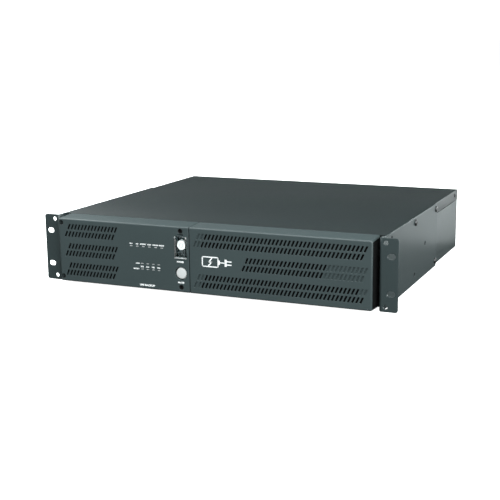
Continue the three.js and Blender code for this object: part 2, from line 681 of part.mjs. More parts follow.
function transformerCore() {
  const leg = CORE.leg / 2;
  const half = CORE.width / 2;
  const floor = INSIDE.floor;
  const y1 = CORE.y0 + CORE.stack;
  const windows = [-1, 1].map((side) => {
    const middle = CORE.x + side * leg * 1.5;
    return block(middle - leg / 2, middle + leg / 2, CORE.y0 - 1, y1 + 1,
      floor + leg, floor + CORE.height - leg);
  });
  return cut(block(CORE.x - half, CORE.x + half, CORE.y0, y1, floor, floor + CORE.height), ...windows);
}

function transformerWinding() {
  const leg = CORE.leg / 2;
  const outer = CORE.width / 2 - leg - GAP;
  const y0 = CORE.y0;
  const y1 = CORE.y0 + CORE.stack;
  const z0 = INSIDE.floor + leg + GAP;
  const z1 = INSIDE.floor + CORE.height - leg - GAP;
  return cut(
    block(CORE.x - outer, CORE.x + outer, y0 - WINDING_REACH, y1 + WINDING_REACH, z0, z1),
    block(CORE.x - leg - GAP, CORE.x + leg + GAP, y0 - GAP, y1 + GAP, z0 - 1, z1 + 1),
  );
}

function mainBoard() {
  const { x0, x1, y0, y1, z0, thickness } = MAIN_BOARD;
  const { inset, radius } = BOARD_POST;
  const posts = [x0 + inset, x1 - inset].flatMap((x) => [y0 + inset, y1 - inset].map(
    (y) => rodZ(x, y, radius, INSIDE.floor, z0 + SURFACE_GAP, 8)));
  return join(block(x0, x1, y0, y1, z0, z0 + thickness), ...posts);
}

// The section of a finned extrusion: an upright base with fins standing out along +X.
function heatsinkSection({ fins, height }) {
  const { base, reach, fin } = HEATSINK;
  const pitch = (height - fin) / (fins - 1);
  const points = [[0, 0]];
  for (let index = 0; index < fins; index += 1) {
    const z = index * pitch;
    points.push([reach, z], [reach, z + fin]);
    if (index < fins - 1) {
      points.push([base, z + fin], [base, z + pitch]);
    }
  }
  points.push([0, height]);
  return outline(points);
}

function capacitor() {
  const { radius, height, bead } = CAPACITOR;
  return new THREE.LatheGeometry([
    [0, 0], [radius - bead, 0], [radius, bead], [radius, 2.5 * bead], [radius - bead, 3.5 * bead],
    [radius, 4.5 * bead], [radius, height - bead], [radius - bead, height], [0, height],
  ].map(([r, y]) => new THREE.Vector2(r, y)), 12).rotateX(Math.PI / 2);
}

function addHeatsink(parent, name, spec, z) {
  const sink = part(parent, name, alongY(heatsinkSection(spec), 0, spec.length), aluminium);
  sink.position.set(spec.x, spec.y, z);
}

function addElectronics(parent) {
  const boardTop = MAIN_BOARD.z0 + MAIN_BOARD.thickness + GAP;
  part(parent, 'transformer_core', transformerCore(), laminatedIron);
  part(parent, 'transformer_winding', transformerWinding(), copperWinding);
  part(parent, 'main_board', mainBoard(), boardGreen);
  addHeatsink(parent, 'inverter_heatsink', INVERTER_SINK, boardTop);
  addHeatsink(parent, 'charger_heatsink', CHARGER_SINK, boardTop);
  const can = capacitor();
  CAPACITOR.ys.forEach((y, index) => {
    part(parent, `bulk_capacitor_${index + 1}`, can, blackPlastic).position.set(CAPACITOR.x, y, boardTop);
  });
  part(parent, 'transfer_relay', block(RELAY.x0, RELAY.x1, RELAY.y0, RELAY.y1,
    boardTop, boardTop + RELAY.height), blackPlastic);
}

// ---------------------------------------------------------------- fan

const FAN_REAR = CASE.rear - SHEET - GAP;

function fanFrame() {
  const { x, z, size, depth, bore, strut } = FAN;
  const half = size / 2;
  const front = FAN_REAR - depth;
  const tube = cut(
    block(x - half, x + half, front, FAN_REAR, z - half, z + half),
    rodY(x, z, bore, front - 1, FAN_REAR + 1, 24),
  );
  const bars = [1, 3].map((quarter) => new THREE.BoxGeometry(2 * bore + 1, strut, strut)
    .rotateY(quarter * Math.PI / 4).translate(x, FAN_REAR - strut / 2, z));
  return join(tube, rodY(x, z, ROTOR.hub, FAN_REAR - strut, FAN_REAR, 16), ...bars);
}

// Hub and pitched blades, turned about Y at its own origin; y runs from 0 to the rotor's depth.
function fanRotor() {
  const { hub, tip, depth, chord, thickness, pitch } = ROTOR;
  const root = hub - 2; // the blades start inside the hub
  const blades = Array.from({ length: ROTOR.blades }, (_, index) => {
    const blade = new THREE.BoxGeometry(tip - root, thickness, chord);
    return blade.rotateX(pitch).translate((tip + root) / 2, depth / 2, 0)
      .rotateY(index / ROTOR.blades * 2 * Math.PI);
  });
  return join(rodY(0, 0, hub, 0, depth, 3 * ROTOR.blades), ...blades);
}

function fanGuard() {
  const { rings, wire, screwReach, bar } = FAN_GUARD;
  const face = CASE.rear + GAP;
  const hoops = rings.map((radius) => new THREE.TorusGeometry(radius, wire, 4, 20)
    .rotateX(Math.PI / 2).translate(FAN.x, face + bar / 2 + wire, FAN.z));
  const bars = [1, 3].map((quarter) => new THREE.BoxGeometry(2 * screwReach, bar, 2 * wire)
    .rotateY(quarter * Math.PI / 4).translate(FAN.x, face + bar / 2, FAN.z));
  return join(...hoops, ...bars);
}

function addFan(parent) {
  part(parent, 'fan_frame', fanFrame(), blackPlastic);
  part(parent, 'fan_guard', fanGuard(), zincSteel);
  const rotor = part(parent, 'fan_rotor', fanRotor(), blackPlastic);
  rotor.position.set(FAN.x, FAN_REAR - FAN.depth + ROTOR.inset, FAN.z);
}

// ---------------------------------------------------------------- rear connectors

// One strip of grounded receptacles: two blade slots and a round earth hole each.
function outletBank(z0) {
  const { x0, width, count, height, depth, proud } = OUTLETS;
  const { bladeX, bladeZ, bladeWidth, tall, short, earthDrop, earthRadius } = RECEPTACLE;
  const rear = CASE.rear + proud;
  const floor = rear - RECEPTACLE.depth;
  const middle = z0 + height / 2;
  const blade = (x, length) => block(x - bladeWidth / 2, x + bladeWidth / 2, floor, rear + 1,
    middle + bladeZ - length / 2, middle + bladeZ + length / 2);
  const cuts = Array.from({ length: count }, (_, index) => {
    const x = x0 + (index + 0.5) * width / count;
    return [
      blade(x - bladeX, tall),
      blade(x + bladeX, short),
      rodY(x, middle - earthDrop, earthRadius, floor, rear + 1, 10),
    ];
  }).flat();
  return cut(block(x0, x0 + width, rear - depth, rear, z0, z0 + height), ...cuts);
}

function acInlet() {
  const { x, z, width, height, depth, proud, flange, cavity, pins } = INLET;
  const rear = CASE.rear + proud;
  const halfX = width / 2;
  const halfZ = height / 2;
  const body = join(
    block(x - halfX, x + halfX, rear - depth, rear, z - halfZ, z + halfZ),
    block(x - halfX - flange, x + halfX + flange, CASE.rear + SURFACE_GAP, rear,
      z - halfZ - flange, z + halfZ + flange),
  );
  const wellX = cavity.width / 2;
  const wellZ = cavity.height / 2;
  const well = alongY(outline([
    [x - wellX, z - wellZ], [x + wellX, z - wellZ], [x + wellX, z + wellZ - cavity.corner],
    [x + wellX - cavity.corner, z + wellZ], [x - wellX + cavity.corner, z + wellZ],
    [x - wellX, z + wellZ - cavity.corner],
  ]), rear - cavity.depth, rear + 1);
  const prongs = pins.map(([dx, dz]) => block(
    x + dx - 1, x + dx + 1, rear - cavity.depth - 1, rear - 2, z + dz - 2, z + dz + 2));
  return join(cut(body, well), ...prongs);
}

function breakerBody() {
  const { x, z, body, bore, nut, back, boreFloor, face } = BREAKER;
  const nutFace = CASE.rear + SURFACE_GAP;
  return turnedY([
    [0, back], [body, back], [body, nutFace], [nut, nutFace], [nut, face], [bore, face], [bore, boreFloor],
    [0, boreFloor],
  ], 16).translate(x, 0, z);
}

function breakerButton() {
  const { radius, start, end, edge } = BREAKER_BUTTON;
  return turnedY([
    [0, start], [radius, start], [radius, end - edge], [radius - edge, end], [0, end],
  ]).translate(BREAKER.x, 0, BREAKER.z);
}

function usbPort() {
  const { x, width, height, mouthX, mouthZ, mouthDepth, depth } = USB;
  const rear = CASE.rear + 1;
  const boxed = (halfX, halfZ, y0, y1) => block(x - halfX, x + halfX, y0, y1, PORT_Z - halfZ, PORT_Z + halfZ);
  const floor = rear - mouthDepth + 1;
  return join(
    cut(boxed(width / 2, height / 2, rear - depth, rear), boxed(mouthX / 2, mouthZ / 2, floor, rear + 1)),
    boxed(mouthX / 3, mouthZ / 5, floor - 1, rear - 1),
  );
}

function serialPort() {
  const { x, bottomHalf, topHalf, halfHeight, wall, proud, depth } = SERIAL;
  const rear = CASE.rear + proud;
  const shellOutline = (grow) => outline([
    [x - bottomHalf - grow, PORT_Z - halfHeight - grow], [x + bottomHalf + grow, PORT_Z - halfHeight - grow],
    [x + topHalf + grow, PORT_Z + halfHeight + grow], [x - topHalf - grow, PORT_Z + halfHeight + grow],
  ]);
  const body = join(
    alongY(shellOutline(0), CASE.rear - depth, rear),
    block(x - SERIAL_PLATE.halfX, x + SERIAL_PLATE.halfX,
      CASE.rear + SURFACE_GAP, CASE.rear + SERIAL_PLATE.end, PORT_Z - SERIAL_PLATE.halfZ, PORT_Z + SERIAL_PLATE.halfZ),
  );
  return cut(body, alongY(shellOutline(-wall), CASE.rear + 1.5, rear + 1));
}

function networkJacks() {
  const { x, width, height, depth } = NETWORK;
  const rear = CASE.rear + 1;
  const mouths = [-1, 1].map((side) => {
    const middle = x + side * JACK.pitch / 2;
    return block(middle - JACK.width / 2, middle + JACK.width / 2, rear - depth + JACK.behind, rear + 1,
      PORT_Z - JACK.bottom, PORT_Z + JACK.top);
  });
  const body = block(x - width / 2, x + width / 2, rear - depth, rear, PORT_Z - height / 2, PORT_Z + height / 2);
  return cut(body, ...mouths);
}

function slotCover() {
  const { x0, x1, z0, z1 } = SLOT_COVER;
  return block(x0, x1, CASE.rear + SURFACE_GAP, CASE.rear + SHEET, z0, z1);
}

function addRearConnectors(parent) {
  part(parent, 'outlet_bank_upper', outletBank(OUTLETS.upperZ), blackPlastic);
  part(parent, 'outlet_bank_lower', outletBank(OUTLETS.lowerZ), blackPlastic);
  part(parent, 'ac_inlet', acInlet(), blackPlastic);
  part(parent, 'breaker_body', breakerBody(), blackPlastic);
  part(parent, 'breaker_button', breakerButton(), redPlastic);
  part(parent, 'usb_port', usbPort(), zincSteel);
  part(parent, 'serial_port', serialPort(), zincSteel);
  part(parent, 'network_jacks', networkJacks(), blackPlastic);
  part(parent, 'slot_cover', slotCover(), slatePaint);
  part(parent, 'battery_socket', batterySocket(), redPlastic);
}

// ---------------------------------------------------------------- assembly

function addCase(parent) {
  part(parent, 'chassis_tray', chassisTray(), slatePaint);
  part(parent, 'top_cover', topCover(), slatePaint);
  part(parent, 'rear_panel', rearPanel(), slatePaint);
  part(parent, 'front_plate', frontPlate(), zincSteel);
  part(parent, 'bay_divider', bayDivider(), zincSteel);
  part(parent, 'bay_back_wall', bayBackWall(), zincSteel);
  part(parent, 'door_bracket', doorBracket(), zincSteel);
  part(parent, 'left_rack_ear', rackEar(-1), slatePaint);
  part(parent, 'right_rack_ear', rackEar(1), slatePaint);
  addEarScrews(parent);
}

function addFront(parent) {
  part(parent, 'control_bezel', controlBezel(), slatePlastic);
  part(parent, 'battery_door', batteryDoor(), slatePlastic);
  addBezelScrews(parent);
  addControls(parent);
  addFrontMovers(parent);
}

const powerSupply = new THREE.Group();
addCase(powerSupply);
addFront(powerSupply);
addBatteryPack(powerSupply);
addElectronics(powerSupply);
addFan(powerSupply);
addRearConnectors(powerSupply);

powerSupply.updateMatrixWorld(true);
const reach = new THREE.Box3().setFromObject(powerSupply);
powerSupply.position.y = -(reach.min.y + reach.max.y) / 2;

export default powerSupply;
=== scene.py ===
"""A 2U rack-mount uninterruptible power supply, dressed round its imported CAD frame.

Shapes are drawn in millimetres with X = 0 on the centre line, Y = 0 on the front faces of the
rack ears and Z = 0 on the underside. at() turns such a point into the frame's metres.
"""

import math
from types import SimpleNamespace as Sizes

import bmesh
import bpy
from mathutils import Matrix, Vector


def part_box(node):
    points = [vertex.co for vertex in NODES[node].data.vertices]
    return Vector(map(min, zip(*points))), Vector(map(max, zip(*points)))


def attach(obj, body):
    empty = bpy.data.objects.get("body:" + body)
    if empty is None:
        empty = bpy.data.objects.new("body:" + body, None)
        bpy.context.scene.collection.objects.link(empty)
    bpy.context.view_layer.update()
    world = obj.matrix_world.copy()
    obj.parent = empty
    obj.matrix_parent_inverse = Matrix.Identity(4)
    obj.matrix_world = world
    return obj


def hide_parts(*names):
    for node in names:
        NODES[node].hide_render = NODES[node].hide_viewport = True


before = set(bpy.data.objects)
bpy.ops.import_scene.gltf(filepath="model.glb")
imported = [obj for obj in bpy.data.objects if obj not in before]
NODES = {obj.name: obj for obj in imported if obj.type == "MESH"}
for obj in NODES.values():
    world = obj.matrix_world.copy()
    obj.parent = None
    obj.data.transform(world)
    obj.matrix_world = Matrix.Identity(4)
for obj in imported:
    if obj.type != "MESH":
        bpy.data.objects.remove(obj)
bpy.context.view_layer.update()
MM = 0.001
EAR_FACE_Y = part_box("left_rack_ear")[0].y
QUARTER = math.pi / 2
SIDES = ((-1, "left"), (1, "right"))

# -------- driving dimensions (mm)

CASE = Sizes(front=19.3, rear=395.0, half=219.2, top=87.4, sheet=1.2)
JOGGLE = Sizes(half=220.2, top=71.2, slope=0.8, roof_gap=0.3)
LIP = Sizes(outer=220.5, thick=1.0, bottom=72.5, screw=(376.0, 80.6))
# a near-black strip under the rear of each side lip: painted shade for the lip's shadow line
LIP_SHADE_STRIP = Sizes(y=328.0, z=72.25, long=132.0, high=0.45, deep=0.8, inset=0.2)
EAR = Sizes(
    fold=218.4, inner=220.8, outer=241.3, thick=2.0, height=88.1, bend=3.2,
    step=(6.0, 17.0), flange_end=260.0, corner=3.0, flange_corner=4.0,
    slot_x=233.05, slot_zs=(21.825, 66.275), slot_wide=9.8, slot_high=6.8,
    hole_x=226.2, hole_zs=(5.95, 82.15), hole_r=2.75, open_r=3.0, screw_hole_r=1.9,
    open_holes=((36.0, 80.6), (144.0, 12.0), (196.0, 44.0)),
    screws=((144.0, 80.6), (252.0, 80.6), (252.0, 8.4)),
)
# near-black discs set into the flange holes: painted shade
HOLE_SHADE = Sizes(inset=1.6, play=0.1, thick=1.2)
SCREW_SEAT = 0.05
# how far the top of each screw's head stands out from its face, and the head's radius
HEADS = Sizes(ear=(-2.2, 4.2), cover=(-1.2, 2.6), slot=(-3.0, 3.4), fan=(-2.4, 3.0))
BEZEL = Sizes(
    front=-10.4, rear=18.9, half=213.4, seam=-22.5, gap=0.5, wall=2.4, fillet=1.7,
    seam_fillet=0.4, rear_edge=0.45, hole_rim=0.28, well_rim=0.4,
    front_bottom=2.1, front_top=85.6, rear_bottom=0.4, rear_top=87.2,
)
VENT = Sizes(pitch=5.0, wide=2.45, high=7.3, lean=0.46, row_drop=9.75, block_drop=25.7, top=75.1,
             flare=0.85)
CONTROL_ROWS = [(0, 15)] * 6
DOOR_ROWS = [(0, 42), (0, 42), (11, 21), (11, 21), (0, 40), (0, 42)]
DOOR_BLIND_ROWS = [(-2, 2), (-2, 2), (32, 10), (32, 10), (-2, 2), (-2, 2)]
DOOR_BLIND_END = [(0, 0)] * 4 + [(40, 2), (0, 0)]
CONTROL_VENT_X = -197.45
DOOR_VENT_X = 0.35
BLIND_DEPTH = 1.5

BEZEL_SCREW = Sizes(xs=(-209.3, -34.5), zs=(8.4, 80.0), recess=3.1, seat=-3.9, boss=4.0, shank=1.4, play=0.3,
                    short=0.4, head=1.8, head_r=2.7)
STATUS = Sizes(x=-105.1, pitch=8.8, count=6, zs=(56.7,), wide=4.0, high=1.3, label_z=59.75)
METER = Sizes(x=-89.7, pitch=7.93, count=4, zs=(27.5, 34.75), wide=3.8, high=1.2, label_z=30.7)
PIPE = Sizes(margin=2.2, gap=0.3, deep=3.5, play=0.3, inset=0.12)
BUTTON_X = -34.5
NOTCH = Sizes(z=75.4, wide=8.0, high=1.6)
POCKET = Sizes(wide=17.0, bottom=45.0, top=73.0, floor=-1.0, wall=1.2)
POWER = Sizes(z=61.9, r=6.2, face=-8.5, flange=0.6, flange_r=7.4, play=0.5)
MUTE = Sizes(z=26.3, r=7.15, face=-10.0, flange=-7.6, flange_r=7.6, play=1.1)
SYMBOL = Sizes(r=2.6, line=0.24, sink=0.08, sweep=(125, 416, 10), bar=(0.3, 1.15))
GUARD = Sizes(y=-9.9, z=71.4, barrel=1.4, plate=1.2, rib=1.0, rib_deep=2.6, play=0.3)
# near-black strips on the bezels' outer sides and in their seam: painted shade
STRIP_SHADE = Sizes(rear_gap=0.5, spread=1.0, soft=0.08)
# which strip of painted shade, its side, the face it lies on, its inset, its thickness, and the body it rides
# on
SHADE_STRIPS = (
    ("left", -1, 213.65, 2.1, 0.5, "chassis"),
    ("right", 1, 213.65, 2.1, 0.5, "battery_door"),
    ("seam", 1, -22.35, 0.6, 0.35, "chassis"),
)
CATCH = Sizes(xs=(-17.0, 208.0), zs=(24.0, 64.0), radius=3.8, end=20.4)
# near-black sheets behind the vent slots: painted shade inside the slots
SHADE_SHEET = Sizes(front=-6.6, back=-4.2, low=7.0, high=81.0, left=-11.5, side_gap=3.0, soft=0.3,
             control_x=-158.0, control_wide=88.0)

# -------- points and outlines


def at(x, y, z):
    return Vector((x * MM, y * MM + EAR_FACE_Y, z * MM))


def facing_front(u, v, w):
    """Across, up and deep as seen from the front."""
    return u, w, v


def facing_rear(u, v, w):
    """Across and up, with depth measured forwards from the rear face of the case."""
    return u, CASE.rear - w, v


def facing_side(side, face):
    """Along the case and up, with depth measured inwards from a side face."""
    return lambda u, v, w: (side * (face - w), u, v)


def facing_along(u, v, w):
    """A section of the case, with depth measured to the right."""
    return w, u, v


def offset(corners, grow):
    """Moves every edge of a counter-clockwise polygon outwards."""
    moved = []
    for i, (x, y) in enumerate(corners):
        ax, ay = corners[i - 1]
        bx, by = corners[(i + 1) % len(corners)]
        n1 = Vector((y - ay, ax - x)).normalized()
        n2 = Vector((by - y, x - bx)).normalized()
        shift = (n1 + n2) * (grow / (1 + n1.dot(n2)))
        moved.append((x + shift.x, y + shift.y))
    return moved


def rounded(corners, radii, steps=3):
    """A polygon with each corner turned into an arc."""
    if not hasattr(radii, "__len__"):
        radii = [radii] * len(corners)
    points = []
    for i, corner in enumerate(corners):
        here = Vector(corner)
        back = (Vector(corners[i - 1]) - here).normalized()
        ahead = (Vector(corners[(i + 1) % len(corners)]) - here).normalized()
        half = back.angle(ahead) / 2
        radius = max(radii[i], 1e-3)
        centre = here + (back + ahead).normalized() * (radius / math.sin(half))
        start = here + back * (radius / math.tan(half)) - centre
        end = here + ahead * (radius / math.tan(half)) - centre
        sweep = start.angle_signed(end)
        for k in range(steps + 1):
            turn = -sweep * k / steps
            points.append((centre.x + start.x * math.cos(turn) - start.y * math.sin(turn),
                           centre.y + start.x * math.sin(turn) + start.y * math.cos(turn)))
    return points


def polygon(corners, radius, steps=2):
    """An outline as a function of how far it is grown."""
    return lambda grow=0.0: rounded(offset(corners, grow), max(radius + grow, 0.02), steps)


def folded(corners, radii):
    """The section of a folded sheet, whose corner radii stay as they are when it is grown."""
    return lambda grow=0.0: rounded(offset(corners, grow), radii, 4)


def rim(soft, steps=2):
    """Steps round the quarter arc of an edge, as (distance in from the side, depth) pairs."""
    turns = [QUARTER * k / steps for k in range(steps + 1)]
    return [(soft * (1 - math.sin(turn)), soft * (1 - math.cos(turn))) for turn in turns]


def rectangle(cx, cy, wide, high, radius, steps=3):
    x, y = wide / 2, high / 2
    return polygon([(cx - x, cy - y), (cx + x, cy - y), (cx + x, cy + y), (cx - x, cy + y)], radius, steps)


def circle(cx, cy, radius, sides=32):
    def loop(grow=0.0):
        return [(cx + (radius + grow) * math.cos(2 * math.pi * i / sides),
                 cy + (radius + grow) * math.sin(2 * math.pi * i / sides)) for i in range(sides)]
    return loop


def cross(cx, cy, reach, half):
    """The recess of a Phillips screw."""
    quarter = [(reach, -half), (reach, half), (half, half)]
    points = []
    for turn in range(4):
        c, s = round(math.cos(turn * QUARTER)), round(math.sin(turn * QUARTER))
        points += [(cx + x * c - y * s, cy + x * s + y * c) for x, y in quarter]
    return polygon(points, 0.0, 1)


# -------- mesh building


SHARP = math.radians(38)
CAVITY_RIM = 0.25
PAN_HEAD = ((0.97, 0.0), (1.0, 0.12), (0.97, 0.45), (0.86, 0.78), (0.68, 0.97))  # share of radius, of height
PAN_HEAD_FLAT = 0.55


class Form:
    """A mesh built from rings of points; place turns (across, up, deep) into drawing millimetres."""

    def __init__(self, place=facing_front):
        self.bm = bmesh.new()
        self.place = place

    def ring(self, loop, deep):
        return [self.bm.verts.new(at(*self.place(u, v, deep))) for u, v in loop]

    def bridge(self, a, b, smooth=True):
        for i in range(len(a)):
            j = (i + 1) % len(a)
            self.bm.faces.new((a[i], a[j], b[j], b[i])).smooth = smooth

    def stack(self, levels):
        rings = [self.ring(loop, deep) for loop, deep in levels]
        for a, b in zip(rings, rings[1:]):
            self.bridge(a, b)
        return rings

    def cap(self, ring, smooth=False):
        self.bm.faces.new(ring).smooth = smooth

    def fill(self, outer, holes=()):
        """Closes the flat region between a ring and the rings inside it."""
        edges = []
        for ring in (outer, *holes):
            for i, vert in enumerate(ring):
                pair = (ring[i - 1], vert)
                edges.append(self.bm.edges.get(pair) or self.bm.edges.new(pair))
        made = bmesh.ops.triangle_fill(self.bm, use_beauty=True, edges=edges)
        for item in made["geom"]:
            if isinstance(item, bmesh.types.BMFace):
                item.smooth = False

    def opening(self, loop, face, end, soft, flare=0.0):
        """Walls of a hole from a face to a depth, with a softened rim; returns its first and last ring."""
        way = 1 if end > face else -1
        levels = [(loop(inset), face + way * deep) for inset, deep in rim(soft)]
        rings = self.stack([*levels, (loop(flare), end)])
        return rings[0], rings[-1]

    def blind(self, loop, face, end, soft):
        first, last = self.opening(loop, face, end, soft)
        self.cap(last)
        return first

    def well(self, loop, hole, face, floor, back, inside, wall, soft):
        """A walled recess with a hole in its floor that stands out behind the plate it is in."""
        rim, end = self.opening(loop, face, floor, soft)
        hole_rings = self.stack([(hole(0.0), floor), (hole(0.0), back)])
        self.fill(end, [hole_rings[0]])
        outside = self.stack([(loop(wall), back), (loop(wall), inside)])
        self.fill(outside[0], [hole_rings[1]])
        return rim, outside[1]

    def slab(self, loop, front, back, soft, convex=True):
        """A closed slab of one outline with rounded edges front and back."""
        way = 1 if back > front else -1
        edge = rim(soft)
        rings = self.stack([(loop(-inset), front + way * deep) for inset, deep in edge]
                           + [(loop(-inset), back - way * deep) for inset, deep in reversed(edge)])
        for ring in (rings[0], rings[-1]):
            if convex:
                self.cap(ring)
            else:
                self.fill(ring)
        return self

    def faced(self, loop, face, back, soft, cavities):
        """A closed slab with blind cavities in its front; cavities are (outline, depth) pairs."""
        way = 1 if back > face else -1
        rings = self.stack([(loop(-soft), face), (loop(-soft * 0.3), face + way * soft * 0.3),
                            (loop(0.0), face + way * soft), (loop(0.0), back)])
        rims = [self.blind(cavity, face, face + way * depth, CAVITY_RIM) for cavity, depth in cavities]
        self.fill(rings[0], rims)
        self.cap(rings[-1])
        return self

    def turned(self, cx, cy, profile, sides=32):
        """A closed turned shape; profile is (radius, depth) pairs, and both ends are capped."""
        rings = self.stack([(circle(cx, cy, radius, sides)(), deep) for radius, deep in profile])
        self.cap(rings[0])
        self.cap(rings[-1])
        return self

    def pan_head(self, cx, cy, base, top, radius):
        """A domed screw head with a Phillips recess, from its base to its top."""
        way = top - base
        levels = [(circle(cx, cy, radius * share)(), base + way * rise) for share, rise in PAN_HEAD]
        rings = self.stack([*levels, (circle(cx, cy, radius * PAN_HEAD_FLAT)(), top)])
        self.cap(rings[0])
        recess = self.stack([(cross(cx, cy, radius * 0.47, radius * 0.11)(), top),
                             (cross(cx, cy, radius * 0.3, radius * 0.09)(), top - way * 0.75)])
        self.fill(rings[-1], [recess[0]])
        self.cap(recess[1])
        return self

    def piece(self, name, finish, slot=None, *replaced, body="chassis"):
        bmesh.ops.recalc_face_normals(self.bm, faces=self.bm.faces)
        for edge in self.bm.edges:
            if len(edge.link_faces) == 2 and edge.calc_face_angle(0.0) > SHARP:
                edge.smooth = False
        mesh = bpy.data.meshes.new(name)
        self.bm.to_mesh(mesh)
        self.bm.free()
        add_piece(name, mesh, finish, replaced, body)


def add_piece(name, mesh, finish, replaced=(), body="chassis"):
    obj = bpy.data.objects.new(name, mesh)
    bpy.context.scene.collection.objects.link(obj)
    mesh.materials.clear()
    mesh.materials.append(FINISH[finish])
    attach(obj, body)
    if replaced:
        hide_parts(*replaced)


def tube(name, points, radius, finish, slot=None, *replaced, body="chassis", closed=False):
    """A round bar along points in drawing millimetres."""
    curve = bpy.data.curves.new(name, "CURVE")
    curve.dimensions = "3D"
    curve.bevel_depth = radius * MM
    curve.bevel_resolution = 4
    curve.use_fill_caps = True
    spline = curve.splines.new("POLY")
    spline.points.add(len(points) - 1)
    for point, place in zip(spline.points, points):
        point.co = (*at(*place), 1.0)
    spline.use_cyclic_u = closed
    add_piece(name, mesh_of(curve), finish, replaced, body)


def mesh_of(curve):
    holder = bpy.data.objects.new("scratch", curve)
    bpy.context.scene.collection.objects.link(holder)
    bpy.context.view_layer.update()
    evaluated = holder.evaluated_get(bpy.context.evaluated_depsgraph_get())
    mesh = bpy.data.meshes.new_from_object(evaluated)
    bpy.data.objects.remove(holder)
    bpy.data.curves.remove(curve)
    mesh.shade_smooth()
    return mesh


# -------- finishes


class Graph:
    """A material's nodes; its shader is a Principled BSDF."""

    def __init__(self, name, **sockets):
        self.material = bpy.data.materials.new(name)
        self.material.use_nodes = True
        self.tree = self.material.node_tree
        self.shader = self.tree.nodes["Principled BSDF"]
        for socket, value in sockets.items():
            self.shader.inputs[socket.replace("_", " ")].default_value = value
        coordinates = self.tree.nodes.new("ShaderNodeTexCoord")
        self.place = coordinates.outputs["Object"]

    def node(self, kind, **settings):
        made = self.tree.nodes.new(kind)
        for key, value in settings.items():
            setattr(made, key, value)
        return made

    def link(self, output, target):
        self.tree.links.new(output, target)

    def texture(self, kind, scale, stretch=None, **settings):
        made = self.node(kind, **settings)
        made.inputs["Scale"].default_value = scale
        self.link(self.stretched(stretch), made.inputs["Vector"])
        return made

    def noise(self, scale, detail=2.0, stretch=None):
        made = self.texture("ShaderNodeTexNoise", scale, stretch)
        made.inputs["Detail"].default_value = detail
        return made.outputs["Fac"]

    def cells(self, scale, output="Distance", feature="F1"):
        return self.texture("ShaderNodeTexVoronoi", scale, feature=feature).outputs[output]

    def bands(self, scale, direction="X"):
        return self.texture("ShaderNodeTexWave", scale, bands_direction=direction).outputs["Fac"]

    def stretched(self, stretch):
        if stretch is None:
            return self.place
        made = self.node("ShaderNodeMapping")
        made.inputs["Scale"].default_value = stretch
        self.link(self.place, made.inputs["Vector"])
        return made.outputs["Vector"]

    def ranged(self, value, low=0.0, high=1.0, start=0.3, end=0.7):
        made = self.node("ShaderNodeMapRange")
        for socket, number in (("From Min", start), ("From Max", end), ("To Min", low), ("To Max", high)):
            made.inputs[socket].default_value = number
        self.link(value, made.inputs["Value"])
        return made.outputs["Result"]

    def blend(self, value, first, second):
        made = self.node("ShaderNodeMix", data_type="RGBA")
        self.link(value, made.inputs["Factor"])
        made.inputs[6].default_value = (*first, 1.0)
        made.inputs[7].default_value = (*second, 1.0)
        return made.outputs[2]

    def finished(self, pattern, colours, grain, rough, relief=None, depth=(0.0, 0.0)):
        """Colours laid by a pattern, roughness by a grain and bumps by a relief; returns the material."""
        self.link(self.blend(pattern, *colours), self.shader.inputs["Base Color"])
        self.link(self.ranged(grain, *rough), self.shader.inputs["Roughness"])
        if relief is not None:
            self.bump(relief, *depth)
        return self.material


    def bump(self, height, strength, distance):
        made = self.node("ShaderNodeBump")
        made.inputs["Strength"].default_value = strength
        made.inputs["Distance"].default_value = distance
        self.link(height, made.inputs["Height"])
        self.link(made.outputs["Normal"], self.shader.inputs["Normal"])


def shade(tone, tint, spread):
    """Two neighbouring colours round one tone."""
    return tuple(tuple(tone * t * k for t in tint) for k in (1 - spread, 1 + spread))


def grained(name, tone, tint, spread, rough, grain, strength, **sockets):
    """A finish whose colour drifts slowly and whose surface has a fine grain, in cells per metre."""
    graph = Graph(name, **sockets)
    drift = graph.ranged(graph.noise(9.0, 3.0))
    fine = graph.noise(grain)
    return graph.finished(drift, shade(tone, tint, spread), fine, rough, fine, (strength, 0.0002))


def brushed(name, tone, tint):
    graph = Graph(name, Metallic=1.0)
    streaks = graph.noise(220.0, 2.0, (1.0, 14.0, 1.0))
    return graph.finished(graph.ranged(streaks), shade(tone, tint, 0.08), streaks, (0.25, 0.4),
                          streaks, (0.06, 0.0001))


def lens_finish(name, tone):
    graph = Graph(name, Transmission_Weight=0.15, IOR=1.49)
    ribs = graph.noise(900.0, 1.0)
    return graph.finished(graph.ranged(ribs), ((tone * 0.9,) * 3, (tone, tone * 1.02, tone * 1.02)),
                          ribs, (0.2, 0.32))


def clear_finish():
    graph = Graph("clear_guard_plastic", Transmission_Weight=1.0, IOR=1.1)
    flow = graph.noise(120.0, 1.0)
    return graph.finished(graph.ranged(flow), ((0.9, 0.93, 0.93), (0.97, 0.99, 0.99)), flow, (0.02, 0.05))


def ribbon_finish():
    graph = Graph("grey_ribbon_cable")
    wires = graph.bands(126.0)
    return graph.finished(graph.ranged(wires, start=0.0, end=1.0), ((0.3, 0.31, 0.33), (0.45, 0.46, 0.48)),
                          wires, (0.45, 0.6), wires, (0.6, 0.0004))


# near-black finish with a fine cell pattern: painted shade, used for the dark sheets, strips and discs that
# make slots, gaps and holes read dark
def painted_shade_finish():
    graph = Graph("painted_shade_black", Specular_IOR_Level=0.1)
    pores = graph.cells(1100.0)
    return graph.finished(pores, ((0.001,) * 3, (0.006,) * 3), pores, (0.85, 1.0), pores, (0.8, 0.0008))


def zinc_finish():
    graph = Graph("zinc_plated_steel", Metallic=0.95)
    return graph.finished(graph.cells(160.0, "Color"), ((0.42, 0.44, 0.45), (0.58, 0.6, 0.61)),
                          graph.noise(60.0), (0.3, 0.48), graph.noise(900.0), (0.08, 0.0001))


